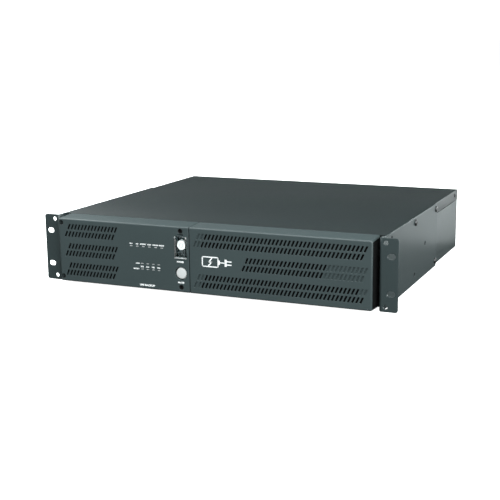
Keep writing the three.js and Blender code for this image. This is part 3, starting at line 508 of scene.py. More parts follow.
def board_finish():
    graph = Graph("green_circuit_board")
    tracks = graph.ranged(graph.cells(320.0, feature="DISTANCE_TO_EDGE"), 1.0, 0.0, 0.02, 0.08)
    return graph.finished(tracks, ((0.012, 0.085, 0.035), (0.03, 0.15, 0.06)),
                          graph.noise(400.0), (0.28, 0.4), tracks, (0.2, 0.0001))


def layered(name, metallic, bands, colours, grain, rough, depth):
    """Metal in fine layers, such as stacked sheets or turns of wire."""
    graph = Graph(name, Metallic=metallic)
    layers = graph.bands(*bands)
    return graph.finished(layers, colours, graph.noise(grain), rough, layers, depth)


TEAL_GREY = (0.74, 1.02, 1.05)
NEUTRAL = (1.0, 1.0, 1.0)

FINISH = {
    "cover": grained("slate_cover_coat", 0.0165, TEAL_GREY, 0.05, (0.42, 0.52), 1400.0, 0.1,
                     Specular_IOR_Level=0.36),
    "paint": grained("slate_powder_coat", 0.038, TEAL_GREY, 0.05, (0.32, 0.42), 1400.0, 0.1),
    "ear": grained("slate_ear_coat", 0.036, TEAL_GREY, 0.05, (0.32, 0.42), 1400.0, 0.1),
    "bezel": grained("slate_moulded_plastic", 0.046, TEAL_GREY, 0.05, (0.38, 0.5), 2600.0, 0.1),
    "shade_black": painted_shade_finish(),
    "black": grained("black_plastic", 0.012, NEUTRAL, 0.15, (0.38, 0.5), 2200.0, 0.1),
    "white": grained("white_button_plastic", 0.5, (1.0, 1.0, 0.99), 0.03, (0.28, 0.36), 1800.0, 0.04),
    "screw": grained("black_oxide_screw", 0.08, NEUTRAL, 0.2, (0.3, 0.42), 3000.0, 0.1, Metallic=0.95),
    "oxide": grained("dull_black_screw", 0.03, NEUTRAL, 0.2, (0.3, 0.4), 3000.0, 0.1, Metallic=0.9),
    "case": grained("battery_case_plastic", 0.05, (0.95, 1.0, 1.05), 0.1, (0.4, 0.55), 1500.0, 0.15),
    "red": grained("red_plastic", 0.28, (1.0, 0.09, 0.07), 0.08, (0.35, 0.45), 1800.0, 0.08),
    "ribbon": ribbon_finish(),
    "lens": lens_finish("milky_lens_plastic", 0.42),
    "clear": clear_finish(),
    # paler and darker copies of the clear guard plastic: painted highlight and painted shade on the guard's
    # edges
    "highlight_pale": lens_finish("painted_highlight_guard_edge", 0.55),
    "shade_grey": lens_finish("painted_shade_guard_edge", 0.12),
    "mark": grained("grey_print", 0.26, NEUTRAL, 0.04, (0.4, 0.5), 4000.0, 0.03),
    "print": grained("white_print", 0.8, NEUTRAL, 0.03, (0.5, 0.6), 4000.0, 0.03),
    "zinc": zinc_finish(),
    "aluminium": brushed("bare_aluminium", 0.62, (1.0, 1.0, 1.01)),
    "steel": brushed("bright_steel", 0.55, (1.0, 0.99, 0.97)),
    "gold": grained("gold_contact", 0.7, (1.0, 0.72, 0.3), 0.1, (0.2, 0.3), 2000.0, 0.03, Metallic=1.0),
    "board": board_finish(),
    "iron": layered("laminated_iron", 0.6, (620.0, "Y"), ((0.05, 0.048, 0.045), (0.16, 0.155, 0.15)),
                    500.0, (0.4, 0.6), (0.5, 0.0003)),
    "copper": layered("enamelled_copper_winding", 0.7, (330.0, "Z"), ((0.16, 0.05, 0.018), (0.5, 0.2, 0.07)),
                      700.0, (0.25, 0.4), (0.7, 0.0005)),
}

# -------- front bezels


def slot_outline(x, z):
    slide = VENT.lean * VENT.high / 2
    half, tall = VENT.wide / 2, VENT.high / 2
    return polygon([(x - half - slide, z - tall), (x + half - slide, z - tall),
                    (x + half + slide, z + tall), (x - half + slide, z + tall)], 0.45)


def vent_outlines(start, rows):
    """Slanted slots in three blocks of two rows; each row is (first slot, number of slots)."""
    outlines = []
    for row, (first, count) in enumerate(rows):
        lower = row % 2
        z = VENT.top - row // 2 * VENT.block_drop - lower * VENT.row_drop
        row_start = start - lower * VENT.row_drop * VENT.lean
        outlines += [slot_outline(row_start + (first + i) * VENT.pitch, z) for i in range(count)]
    return outlines


def window_centres(windows):
    return [(windows.x + i * windows.pitch, z) for z in windows.zs for i in range(windows.count)]


def bezel_loop(x0, x1, y, inset, seam_inset, seam_left):
    """The outline of a bezel at one depth; its seam side is cut square."""
    span = (y - BEZEL.front) / (BEZEL.rear - BEZEL.front)
    bottom = BEZEL.front_bottom + (BEZEL.rear_bottom - BEZEL.front_bottom) * span + inset
    top = BEZEL.front_top + (BEZEL.rear_top - BEZEL.front_top) * span - inset
    left = x0 + (seam_inset if seam_left else inset)
    right = x1 - (inset if seam_left else seam_inset)
    soft, square = 2.0, 0.35
    radii = [square, soft, soft, square] if seam_left else [soft, square, square, soft]
    return rounded([(left, bottom), (right, bottom), (right, top), (left, top)], radii)


def bezel_form(x0, x1, seam_left, vents, through=(), shallow=(), wells=()):
    """A moulded tray-shaped cover: softened front edges, sloping top and bottom, open at the back."""
    form = Form()
    front, rear, wall, edge = BEZEL.front, BEZEL.rear, BEZEL.wall, BEZEL.rear_edge
    seam_share = BEZEL.seam_fillet / BEZEL.fillet
    stations = [(front + deep, inset, inset * seam_share) for inset, deep in rim(BEZEL.fillet, 5)]
    stations += [(rear - edge, 0, 0), (rear, edge, edge), (rear, wall, wall), (front + wall, wall, wall)]
    rings = form.stack([(bezel_loop(x0, x1, y, *insets, seam_left), y) for y, *insets in stations])
    front_holes, back_holes = [], []
    for outlines, flare in ((vents, VENT.flare), (through, 0.0)):
        for outline in outlines:
            first, last = form.opening(outline, front, front + wall, BEZEL.hole_rim, flare)
            front_holes.append(first)
            back_holes.append(last)
    for outline in shallow:
        front_holes.append(form.blind(outline, front, front + BLIND_DEPTH, BEZEL.hole_rim))
    for loop, hole, floor, back, thick in wells:
        first, last = form.well(loop, hole, front, floor, back, front + wall, thick, BEZEL.well_rim)
        front_holes.append(first)
        back_holes.append(last)
    form.fill(rings[0], front_holes)
    form.fill(rings[-1], back_holes)
    return form


def build_control_bezel():
    openings = [rectangle(x, z, group.wide, group.high, 0.25, 2)
                for group in (STATUS, METER) for x, z in window_centres(group)]
    openings.append(circle(BUTTON_X, MUTE.z, MUTE.r + MUTE.play, 48))
    openings.append(rectangle(BUTTON_X, NOTCH.z, NOTCH.wide, NOTCH.high, 0.3, 2))
    middle = (POCKET.bottom + POCKET.top) / 2
    pocket = rectangle(BUTTON_X, middle, POCKET.wide, POCKET.top - POCKET.bottom, 1.0)
    wells = [(pocket, circle(BUTTON_X, POWER.z, POWER.r + POWER.play, 48),
              POCKET.floor, POCKET.floor + POCKET.wall, POCKET.wall)]
    recess = BEZEL_SCREW.recess
    wells += [(circle(x, z, recess, 28), circle(x, z, BEZEL_SCREW.shank + BEZEL_SCREW.play, 16),
               BEZEL_SCREW.seat, BEZEL.rear - BEZEL_SCREW.short, BEZEL_SCREW.boss - recess)
              for x in BEZEL_SCREW.xs for z in BEZEL_SCREW.zs]
    form = bezel_form(-BEZEL.half, BEZEL.seam - BEZEL.gap, False, vent_outlines(CONTROL_VENT_X, CONTROL_ROWS),
                      openings, wells=wells)
    form.piece("front_control_bezel", "bezel", "slate_plastic", "control_bezel")


def build_battery_door():
    vents, *blind = (vent_outlines(DOOR_VENT_X, rows)
                     for rows in (DOOR_ROWS, DOOR_BLIND_ROWS, DOOR_BLIND_END))
    form = bezel_form(BEZEL.seam + BEZEL.gap, BEZEL.half, True, vents, shallow=sum(blind, []))
    form.piece("front_battery_door", "bezel", "slate_plastic", "battery_door", body="battery_door")


def build_catches():
    """Magnet posts on the back of the door."""
    start, end, radius = BEZEL.front + BEZEL.wall - 0.2, CATCH.end, CATCH.radius
    post = [(radius + 0.6, start), (radius, start + 1.2), (radius, end - 1.5), (radius - 0.5, end - 1.0),
            (radius - 0.9, end - 1.0)]
    magnet = [(radius - 1.1, end - 1.6), (radius - 1.1, end - 0.3), (radius - 1.4, end)]
    places = [(x, z) for x in CATCH.xs for z in CATCH.zs]
    for number, place in enumerate(places, 1):
        form = Form().turned(*place, post, 24)
        form.piece(f"door_catch_post_{number}", "bezel", "slate_plastic", body="battery_door")
        Form().turned(*place, magnet, 24).piece(f"door_catch_magnet_{number}", "steel", body="battery_door")


def build_shade_strips():
    """Near-black strips on the outer sides of the two bezels and in the seam between them: painted shade for
    the dark channel beside each ear and the dark seam.
    """
    rear = BEZEL.rear - STRIP_SHADE.rear_gap
    for word, side, face, inset, thick, body in SHADE_STRIPS:
        front, low, high = BEZEL.front + inset, BEZEL.front_bottom + inset, BEZEL.front_top - inset
        outline = polygon([(front, low), (rear, low - STRIP_SHADE.spread),
                           (rear, high + STRIP_SHADE.spread), (front, high)], 0.2)
        form = Form(facing_side(side, face)).slab(outline, 0.0, thick, STRIP_SHADE.soft)
        form.piece(f"{word}_painted_shade_strip", "shade_black", body=body)


def build_shade_sheets():
    """Near-black sheets behind the slots of each bezel, painted shade that makes the slots read dark, with
    room for the magnet posts of the door.
    """
    low, high, room = SHADE_SHEET.low, SHADE_SHEET.high, CATCH.radius + 0.6
    inner, outer = CATCH.xs[1] - room, BEZEL.half - SHADE_SHEET.side_gap
    corners = [(SHADE_SHEET.left, low), (outer, low)]
    for z in CATCH.zs:
        corners += [(outer, z - room), (inner, z - room), (inner, z + room), (outer, z + room)]
    corners += [(outer, high), (SHADE_SHEET.left, high)]
    control = rectangle(SHADE_SHEET.control_x, (low + high) / 2, SHADE_SHEET.control_wide, high - low, 1.0)
    form = Form().slab(polygon(corners, 0.1), SHADE_SHEET.front, SHADE_SHEET.back, SHADE_SHEET.soft, convex=False)
    form.piece("door_shade_sheet", "shade_black", body="battery_door")
    Form().slab(control, SHADE_SHEET.front, SHADE_SHEET.back, SHADE_SHEET.soft).piece("control_shade_sheet", "shade_black")


# -------- rack ears


def eased(value, low, high):
    """0 below low, 1 above high, and smooth between them."""
    share = min(max((value - low) / (high - low), 0.0), 1.0)
    return share * share * (3 - 2 * share)


def ear_place(side):
    """Bends a flat pattern round the ear's fold: u runs from the fold out, and back down the flange."""
    bend, fold = EAR.bend, EAR.fold
    length = bend * QUARTER

    def place(u, v, w):
        if u >= 0:
            return side * (fold + bend + u), w, v
        if u > -length:
            turn = -u / bend
            radius = bend - w
            return side * (fold + bend - radius * math.sin(turn)), bend - radius * math.cos(turn), v
        y = bend - u - length
        step = (EAR.inner - fold) * eased(y, *EAR.step)
        return side * (fold + step + w), y, v
    return place


def ear_holes():
    """Outlines in the flat pattern: those of the ear, and those of the flange."""
    bend = EAR.bend
    edge = EAR.fold + bend
    along = bend - bend * QUARTER
    plate = [rectangle(EAR.slot_x - edge, z, EAR.slot_wide, EAR.slot_high, EAR.slot_high / 2 - 0.05, 6)
             for z in EAR.slot_zs]
    plate += [circle(EAR.hole_x - edge, z, EAR.hole_r, 24) for z in EAR.hole_zs]
    flange = [circle(along - y, z, EAR.open_r, 24) for y, z in EAR.open_holes]
    flange += [circle(along - y, z, EAR.screw_hole_r, 16) for y, z in EAR.screws]
    return plate, flange


def ear_strip():
    """Stations along the flat pattern through the fold and the step behind it, as (u, height) pairs."""
    bend = EAR.bend
    length = bend * QUARTER
    folds, steps = 8, 7
    start, end = EAR.step
    stations = [(-length * k / folds, EAR.height) for k in range(1, folds + 1)]
    for k in range(steps + 1):
        y = start + (end - start) * k / steps
        height = EAR.height + (CASE.top - EAR.height) * k / steps
        stations.append((bend - length - y, height))
    return stations


def ear_outlines():
    """Flat outlines of the plate and of the flange, both left open at the fold."""
    bend, top, sharp = EAR.bend, EAR.height, 0.001
    reach = EAR.outer - EAR.fold - bend
    rear = bend - bend * QUARTER - EAR.flange_end
    plate = rounded([(0.0, 0.0), (reach, 0.0), (reach, top), (0.0, top)],
                    [sharp, EAR.corner, EAR.corner, sharp], 5)
    flange = rounded([(rear, CASE.top), (rear, 0.0), (0.0, 0.0), (0.0, CASE.top)],
                     [EAR.flange_corner, EAR.flange_corner, sharp, sharp], 5)
    return [p for p in plate if p[0] > 0.1], [p for p in flange if p[0] < -0.1]


def build_ear(side, word):
    form = Form(ear_place(side))
    top, strip = EAR.height, ear_strip()
    plate, flange = ear_outlines()
    pattern = [(0.0, 0.0), *plate, (0.0, top), *strip, *flange, *[(u, 0.0) for u, _ in reversed(strip)]]
    top_at = len(plate) + 1
    flange_top = top_at + len(strip)
    flange_bottom = len(pattern) - len(strip)
    thick, soft = EAR.thick, 0.3
    layers = [(-soft, 0.0), (-soft * 0.3, soft * 0.3), (0.0, soft), (0.0, thick - soft),
              (-soft * 0.3, thick - soft * 0.3), (-soft, thick)]
    rings = form.stack([(offset(pattern, grow), deep) for grow, deep in layers])
    walls = [[form.stack([(outline(-grow), deep) for grow, deep in layers]) for outline in group]
             for group in ear_holes()]
    for end in (0, -1):
        ring = rings[end]
        form.fill(ring[:top_at + 1], [hole[end] for hole in walls[0]])
        form.fill(ring[flange_top:flange_bottom + 1], [hole[end] for hole in walls[1]])
        upper = ring[top_at:flange_top + 1]
        lower = [ring[0], *reversed(ring[flange_bottom:])]
        for k in range(len(strip)):
            form.bm.faces.new((upper[k], upper[k + 1], lower[k + 1], lower[k])).smooth = True
    form.piece(f"{word}_folded_ear", "ear", "slate_steel", f"{word}_rack_ear")


def build_hole_shades():
    """Near-black discs in the unused holes of the ears' flanges: painted shade that makes the holes read
    dark.
    """
    for side, word in SIDES:
        for number, (y, z) in enumerate(EAR.open_holes, 1):
            disc = circle(y, z, EAR.open_r - HOLE_SHADE.play, 20)
            form = Form(facing_side(side, EAR.inner + HOLE_SHADE.inset)).slab(disc, 0.0, HOLE_SHADE.thick, 0.08)
            form.piece(f"{word}_flange_hole_plug_{number}", "shade_black")


def build_ear_screws():
    shank = [(1.45, 0.0), (1.45, 6.4), (0.9, 7.0)]
    for side, word in SIDES:
        for number, place in enumerate(EAR.screws, 1):
            form = Form(facing_side(side, EAR.inner + EAR.thick))
            form.pan_head(*place, -SCREW_SEAT, *HEADS.ear).turned(*place, shank, 16)
            node = f"{word}_ear_screw_{number}"
            form.piece(f"{word}_ear_screw_head_{number}", "screw", "black_screw", node)


def build_bezel_screws():
    """Screws at the bottom of their wells, each well lined with a black tube: painted shade on the well's
    walls.
    """
    seat, radius, mouth = BEZEL_SCREW.seat, BEZEL_SCREW.shank, BEZEL.front + 0.15
    shank = [(radius, seat), (radius, seat + 26.0), (0.8, seat + 27.0)]
    outer, inner = BEZEL_SCREW.recess - 0.02, BEZEL_SCREW.recess - 0.25
    places = [(x, z) for x in BEZEL_SCREW.xs for z in BEZEL_SCREW.zs]
    for number, place in enumerate(places, 1):
        form = Form().pan_head(*place, seat - SCREW_SEAT, seat - BEZEL_SCREW.head, BEZEL_SCREW.head_r)
        form.turned(*place, shank, 16)
        form.piece(f"bezel_screw_head_{number}", "black", "black_screw", f"bezel_screw_{number}")
        # black tube lining the well: painted shade on its walls
        shade_lining = Form()
        rings = shade_lining.stack([(circle(*place, r, 28)(), deep) for r, deep in (
            (outer, seat - 0.1), (outer, mouth), (inner, mouth), (inner, seat - 0.1))])
        shade_lining.bridge(rings[-1], rings[0])
        shade_lining.piece(f"bezel_screw_shade_lining_{number}", "black")


# -------- steel case


def build_case():
    """The cover with its side lips, and the tray whose sides step inwards behind them."""
    inner, outer, under = LIP.outer - LIP.thick, LIP.outer, CASE.top - CASE.sheet
    cover = folded([(-outer, LIP.bottom), (-inner, LIP.bottom), (-inner, under), (inner, under),
                    (inner, LIP.bottom), (outer, LIP.bottom), (outer, CASE.top), (-outer, CASE.top)],
                   [0.1, 0.1, 0.4, 0.4, 0.1, 0.1, 0.9, 0.9])
    half, sheet, wide, step = CASE.half, CASE.sheet, JOGGLE.half, JOGGLE.top
    roof = under - JOGGLE.roof_gap
    right = [(wide, 0.0), (wide, step), (half, step + JOGGLE.slope), (half, roof), (half - sheet, roof),
             (half - sheet, step), (wide - sheet, step - JOGGLE.slope), (wide - sheet, sheet)]
    left = [(-x, z) for x, z in reversed(right)]
    soft = [1.6, 0.4, 0.3, 0.1, 0.1, 0.3, 0.4, 0.4]
    tray = folded(left[-1:] + right + left[:-1], soft[:1] + soft + soft[:0:-1])
    for name, outline, finish, node in (("folded_top_cover", cover, "cover", "top_cover"),
                                        ("folded_case_tray", tray, "paint", "chassis_tray")):
        form = Form().slab(outline, CASE.front, CASE.rear, 0.25, convex=False)
        form.piece(name, finish, "slate_steel", node)


def build_lip_trim():
    """A screw through each side lip of the cover, and a near-black strip under it: painted shade for the
    shadow line under the lip.
    """
    seal = rectangle(LIP_SHADE_STRIP.y, LIP_SHADE_STRIP.z, LIP_SHADE_STRIP.long, LIP_SHADE_STRIP.high, 0.05)
    for side, word in SIDES:
        form = Form(facing_side(side, LIP.outer)).pan_head(*LIP.screw, -SCREW_SEAT, *HEADS.cover)
        form.piece(f"{word}_cover_screw", "screw", "black_screw")
        form = Form(facing_side(side, LIP.outer - LIP_SHADE_STRIP.inset)).slab(seal, 0.0, LIP_SHADE_STRIP.deep, 0.05)
        form.piece(f"{word}_lip_shade_strip", "shade_black")


# -------- buttons and guard


def build_button(name, node, spec):
    """A domed cap on a stem, with a flange that keeps it behind its hole."""
    r, face, flange, flange_r, dome = spec.r, spec.face, spec.flange, spec.flange_r, 0.35
    profile = [(r * k, face + dome * k * k) for k in (0.02, 0.2, 0.4, 0.6, 0.75)]
    profile += [(r - 0.7, face + dome * 0.8), (r - 0.25, face + dome + 0.2),
                (r, face + dome + 0.75), (r, flange),
                (flange_r - 0.15, flange), (flange_r, flange + 0.15), (flange_r, flange + 1.2),
                (2.0, flange + 1.2), (2.0, 3.6)]
    Form().turned(BUTTON_X, spec.z, profile, 48).piece(name, "white", "white_plastic", node, body=node)


def build_power_symbol():
    """The usual ring and bar, lightly moulded on the cap of the power button."""
    y, radius = POWER.face + SYMBOL.sink, SYMBOL.r
    sweep = [math.radians(a) for a in range(*SYMBOL.sweep)]
    ring = [(BUTTON_X + radius * math.cos(t), y, POWER.z + radius * math.sin(t)) for t in sweep]
    bar = [(BUTTON_X, y, POWER.z + radius * k) for k in SYMBOL.bar]
    for word, points in (("ring", ring), ("bar", bar)):
        tube(f"power_symbol_{word}", points, SYMBOL.line, "mark", body="power_button")


def build_guard():
    """A clear flap hung from a round hinge, with a rim on its other three sides; the rim's lip is a paler
    copy of the plastic, a painted highlight, and its left rib a darker copy, painted shade.
    """
    half = POCKET.wide / 2 - GUARD.play
    left, right = BUTTON_X - half, BUTTON_X + half
    front = GUARD.y - GUARD.barrel
    back = front + GUARD.plate
    bottom, rib, rib_back = POCKET.bottom + GUARD.play, GUARD.rib, back + GUARD.rib_deep
    hinge = [(GUARD.y + GUARD.barrel * math.cos(t), GUARD.z + GUARD.barrel * math.sin(t))
             for t in [math.radians(a) for a in range(-60, 181, 20)]]
    section = [(front, bottom + rib), (back, bottom + rib), (back, GUARD.z - GUARD.plate), *hinge]
    form = Form(facing_along)
    for ring in form.stack([(section, left + rib), (section, right - rib)]):
        form.fill(ring)
    form.piece("clear_power_guard", "clear", "clear_plastic", "power_guard", body="power_guard")
    rib_top = GUARD.z - 2.0
    middle, tall = (bottom + rib + rib_top) / 2, rib_top - bottom - rib
    # the left rib is darker, painted shade, and the lip paler, a painted highlight
    rims = (("left_rib", rectangle(left + rib / 2, middle, rib, tall, 0.2), 0.2, "shade_grey"),
            ("right_rib", rectangle(right - rib / 2, middle, rib, tall, 0.2), 0.2, "clear"),
            ("lip", rectangle(BUTTON_X, bottom + rib / 2, right - left, rib, 0.3), 0.25, "highlight_pale"))
    for word, outline, soft, finish in rims:
        form = Form().slab(outline, front, rib_back, soft)
        form.piece(f"power_guard_{word}", finish, "clear_plastic", body="power_guard")
    build_guard_ends(left, right)


def build_guard_ends(left, right):
    """The two ends of the round hinge, in a paler copy of the plastic that paints their highlight."""
    form = Form(facing_along)
    barrel = circle(GUARD.y, GUARD.z, GUARD.barrel, 20)()
    for x0, x1 in ((left, left + GUARD.rib), (right - GUARD.rib, right)):
        for ring in form.stack([(barrel, x0), (barrel, x1)]):
            form.cap(ring)
    form.piece("power_guard_hinge_ends", "highlight_pale", "clear_plastic", body="power_guard")


def build_light_pipes():
    """A bar behind each group of windows, and a block in each window."""
    back = BEZEL.front + BEZEL.wall + PIPE.gap
    for name, group in (("status_light_pipe", STATUS), ("meter_light_pipe", METER)):
        last = group.x + (group.count - 1) * group.pitch
        middle = (group.zs[0] + group.zs[-1]) / 2
        wide = last - group.x + group.wide + 2 * PIPE.margin
        high = group.zs[-1] - group.zs[0] + 2 * PIPE.margin
        bar = rectangle((group.x + last) / 2, middle, wide, high, 0.6)
        Form().slab(bar, back, back + PIPE.deep, 0.3).piece(f"{name}_bar", "lens", "lens_plastic", name)
        for number, (x, z) in enumerate(window_centres(group), 1):
            block = rectangle(x, z, group.wide - PIPE.play, group.high - PIPE.play, 0.2, 2)
            form = Form().slab(block, BEZEL.front + PIPE.inset, back - 0.02, 0.12)
            form.piece(f"{name}_window_{number}", "lens", "lens_plastic")


# -------- rear connectors

OUTLETS = Sizes(x0=2.0, wide=164.0, count=4, high=34.0, zs=(8.0, 46.0), proud=1.4, deep=28.6,
                face=(33.0, 28.5))
BLADES = ((-6.4, 4.5, 2.0, 8.0), (6.4, 4.5, 2.0, 7.0))
EARTH = Sizes(drop=7.0, r=2.5)
INLET = Sizes(x=193.0, z=60.0, wide=27.0, high=20.0, flange=3.0, proud=2.2, deep=21.8, well=15.5,
              well_half=12.2, well_tall=8.3, well_cut=5.0)
INLET_PINS = ((-7.0, -2.0), (7.0, -2.0), (0.0, 3.0))
BREAKER = Sizes(x=193.0, z=22.0, r=7.1, bore=4.6, cap=4.2, nut=9.8, proud=3.0, end=7.0)
PORT_Z = 28.0
USB = Sizes(x=-98.0, wide=12.0, high=11.0, well_half=4.2, well_tall=3.9, well_cut=1.6)
SERIAL = Sizes(x=-71.0, half=8.1, lean=0.5, high=7.6, proud=6.0, post=12.5, wall=0.7,
               plate=(31.0, 12.4), pin_rows=((5, 1.4), (4, -1.4)), pin_pitch=2.7)
JACKS = Sizes(x=-40.0, pitch=14.0, wide=28.0, high=14.0,
              well=((-5.8, -3.0), (-2.6, -3.0), (-2.6, -4.6), (2.6, -4.6), (2.6, -3.0), (5.8, -3.0),
                    (5.8, 3.6), (-5.8, 3.6)))
SLOT_COVER = Sizes(x=-68.0, z=66.0, wide=80.0, high=32.0, proud=1.2, screw=35.0)


def build_outlets():
    """Two strips of grounded receptacles, each with a raised face."""
    pitch = OUTLETS.wide / OUTLETS.count
    centre = OUTLETS.x0 + OUTLETS.wide / 2
    for word, z0 in zip(("lower", "upper"), OUTLETS.zs):
        middle = z0 + OUTLETS.high / 2
        strip = rectangle(centre, middle, OUTLETS.wide, OUTLETS.high, 1.2)
        form = Form(facing_rear).slab(strip, -0.6, OUTLETS.deep, 0.4)
        form.piece(f"{word}_outlet_strip", "black", "black_plastic", f"outlet_bank_{word}")
        for number in range(OUTLETS.count):
            x = OUTLETS.x0 + (number + 0.5) * pitch
            holes = [(rectangle(x + dx, middle + dz, wide, high, 0.3), 5.0) for dx, dz, wide, high in BLADES]
            holes.append((circle(x, middle - EARTH.drop, EARTH.r, 20), 5.0))
            face = rectangle(x, middle, *OUTLETS.face, 9.0, 6)
            form = Form(facing_rear).faced(face, -OUTLETS.proud, -0.5, 0.4, holes)
            form.piece(f"{word}_outlet_face_{number + 1}", "bezel", "black_plastic")


def build_inlet():
    x, z, proud, well_deep = INLET.x, INLET.z, INLET.proud, INLET.well
    half, tall, cut = INLET.well_half, INLET.well_tall, INLET.well_cut
    well = polygon([(x - half, z - tall), (x + half, z - tall), (x + half, z + tall - cut),
                    (x + half - cut, z + tall), (x - half + cut, z + tall), (x - half, z + tall - cut)], 1.0)
    wide, high, rim_wide = INLET.wide, INLET.high, 2 * INLET.flange
    form = Form(facing_rear)
    form.faced(rectangle(x, z, wide + rim_wide, high + rim_wide, 3.0, 5), -proud, -0.1, 0.6, [(well, 2.0)])
    form.faced(rectangle(x, z, wide, high, 1.0), -0.1, INLET.deep, 0.1, [(well, well_deep - proud)])
    form.piece("mains_inlet_shell", "black", "black_plastic", "ac_inlet")
    form = Form(facing_rear)
    for dx, dz in INLET_PINS:
        form.slab(rectangle(x + dx, z + dz, 2.0, 4.0, 0.4), 0.4, well_deep, 0.3)
    form.piece("mains_inlet_pins", "steel")


def build_breaker():
    """A nut and a collar on the rear panel, and the button that pops out of them."""
    x, z, proud, end = BREAKER.x, BREAKER.z, -BREAKER.proud, -BREAKER.end
    r, bore, cap = BREAKER.r, BREAKER.bore, BREAKER.cap
    form = Form(facing_rear)
    form.faced(circle(x, z, BREAKER.nut, 6), proud + 0.6, -0.1, 0.5, [(circle(x, z, r + 0.2), 0.6)])
    form.piece("breaker_nut", "steel")
    collar = [(r, 24.0), (r, proud + 0.4), (r - 0.4, proud), (bore + 0.3, proud),
              (bore, proud + 0.3), (bore, 9.0)]
    Form(facing_rear).turned(x, z, collar).piece("breaker_collar", "black", "black_plastic", "breaker_body")
    button = [(cap, 8.5), (cap, end + 0.9), (cap - 0.3, end + 0.3), (cap - 0.9, end), (cap * 0.6, end + 0.25),
              (cap * 0.2, end + 0.4)]
    form = Form(facing_rear).turned(x, z, button)
    form.piece("breaker_reset_cap", "red", "red_plastic", "breaker_button", body="breaker_button")


def build_usb_port():
    x, half, tall, cut = USB.x, USB.well_half, USB.well_tall, USB.well_cut
    well = polygon([(x - half, PORT_Z - tall), (x + half, PORT_Z - tall), (x + half, PORT_Z + tall - cut),
                    (x + half - cut, PORT_Z + tall), (x - half + cut, PORT_Z + tall),
                    (x - half, PORT_Z + tall - cut)], 0.3)
    shell = rectangle(x, PORT_Z, USB.wide, USB.high, 0.6)
    form = Form(facing_rear).faced(shell, -1.0, 14.0, 0.3, [(well, 9.0)])
    form.piece("usb_port_shell", "zinc", None, "usb_port")
    form = Form(facing_rear).slab(rectangle(x, PORT_Z, 5.6, 3.2, 0.3), 0.2, 8.0, 0.2)
    form.piece("usb_port_tongue", "white")


def build_serial_port():
    """A D-shaped shell on a plate, with a threaded post on each side and nine pins in two rows."""
    x, half, lean, tall = SERIAL.x, SERIAL.half, SERIAL.lean, SERIAL.high / 2
    shell = polygon([(x - half + lean, PORT_Z - tall), (x + half - lean, PORT_Z - tall),
                     (x + half + lean, PORT_Z + tall), (x - half - lean, PORT_Z + tall)], 1.6, 4)
    form = Form(facing_rear)
    form.faced(shell, -SERIAL.proud, 10.0, 0.3, [(lambda grow=0.0: shell(grow - SERIAL.wall), 5.0)])
    form.slab(rectangle(x, PORT_Z, *SERIAL.plate, 1.5), -0.9, -0.1, 0.2)
    form.piece("serial_port_shell", "zinc", None, "serial_port")
    form = Form(facing_rear)
    for post in (x - SERIAL.post, x + SERIAL.post):
        form.faced(circle(post, PORT_Z, 2.7, 6), -4.6, -0.8, 0.3, [(circle(post, PORT_Z, 1.3, 16), 3.0)])
    form.piece("serial_port_posts", "steel")
    form = Form(facing_rear)
    for count, dz in SERIAL.pin_rows:
        for number in range(count):
            pin = x + (number - (count - 1) / 2) * SERIAL.pin_pitch
            form.turned(pin, PORT_Z + dz, [(0.45, -0.6), (0.45, -4.8), (0.25, -5.2)], 10)
    form.piece("serial_port_pins", "gold")


def build_network_jacks():
    """Two sockets with a notch for the latch, and eight contacts in each."""
    form = Form(facing_rear)
    wells, contacts = [], []
    for side in (-1, 1):
        x = JACKS.x + side * JACKS.pitch / 2
        well = polygon([(x + dx, PORT_Z + dz) for dx, dz in JACKS.well], 0.2, 1)
        wells.append((well, 11.0))
        contacts += [x + (number - 3.5) * 1.1 for number in range(8)]
    form.faced(rectangle(JACKS.x, PORT_Z, JACKS.wide, JACKS.high, 0.8), -1.0, 16.0, 0.3, wells)
    form.piece("network_jack_block", "black", "black_plastic", "network_jacks")
    form = Form(facing_rear)
    for x in contacts:
        form.slab(rectangle(x, PORT_Z + 2.9, 0.45, 0.7, 0.1, 1), 1.5, 9.0, 0.1)
    form.piece("network_jack_contacts", "gold")


def build_slot_cover():
    x, z, proud = SLOT_COVER.x, SLOT_COVER.z, -SLOT_COVER.proud
    form = Form(facing_rear).slab(rectangle(x, z, SLOT_COVER.wide, SLOT_COVER.high, 1.5), proud, -0.1, 0.25)
    form.piece("expansion_slot_cover", "paint", "slate_steel", "slot_cover")
    form = Form(facing_rear)
    for side in (-1, 1):
        form.pan_head(x + side * SLOT_COVER.screw, z, proud, *HEADS.slot)
    form.piece("expansion_slot_screws", "steel")


# -------- fan

FAN = Sizes(x=-166.0, z=44.0, half=40.0, bore=38.0, hub=16.0, tip=36.4, rear=1.5, deep=25.0,
       hole=35.75, hole_r=2.2, blades=7, rotor=(5.5, 24.5), strut=2.8,
            spans=7, chords=8)
FAN_CORNERS = ((-1, -1), (-1, 1), (1, -1), (1, 1))
GUARD_WIRE = Sizes(r=0.8, rings=(11.0, 19.0, 27.0, 35.5), ring_deep=-2.0, arm_deep=-1.0, loop=3.4)


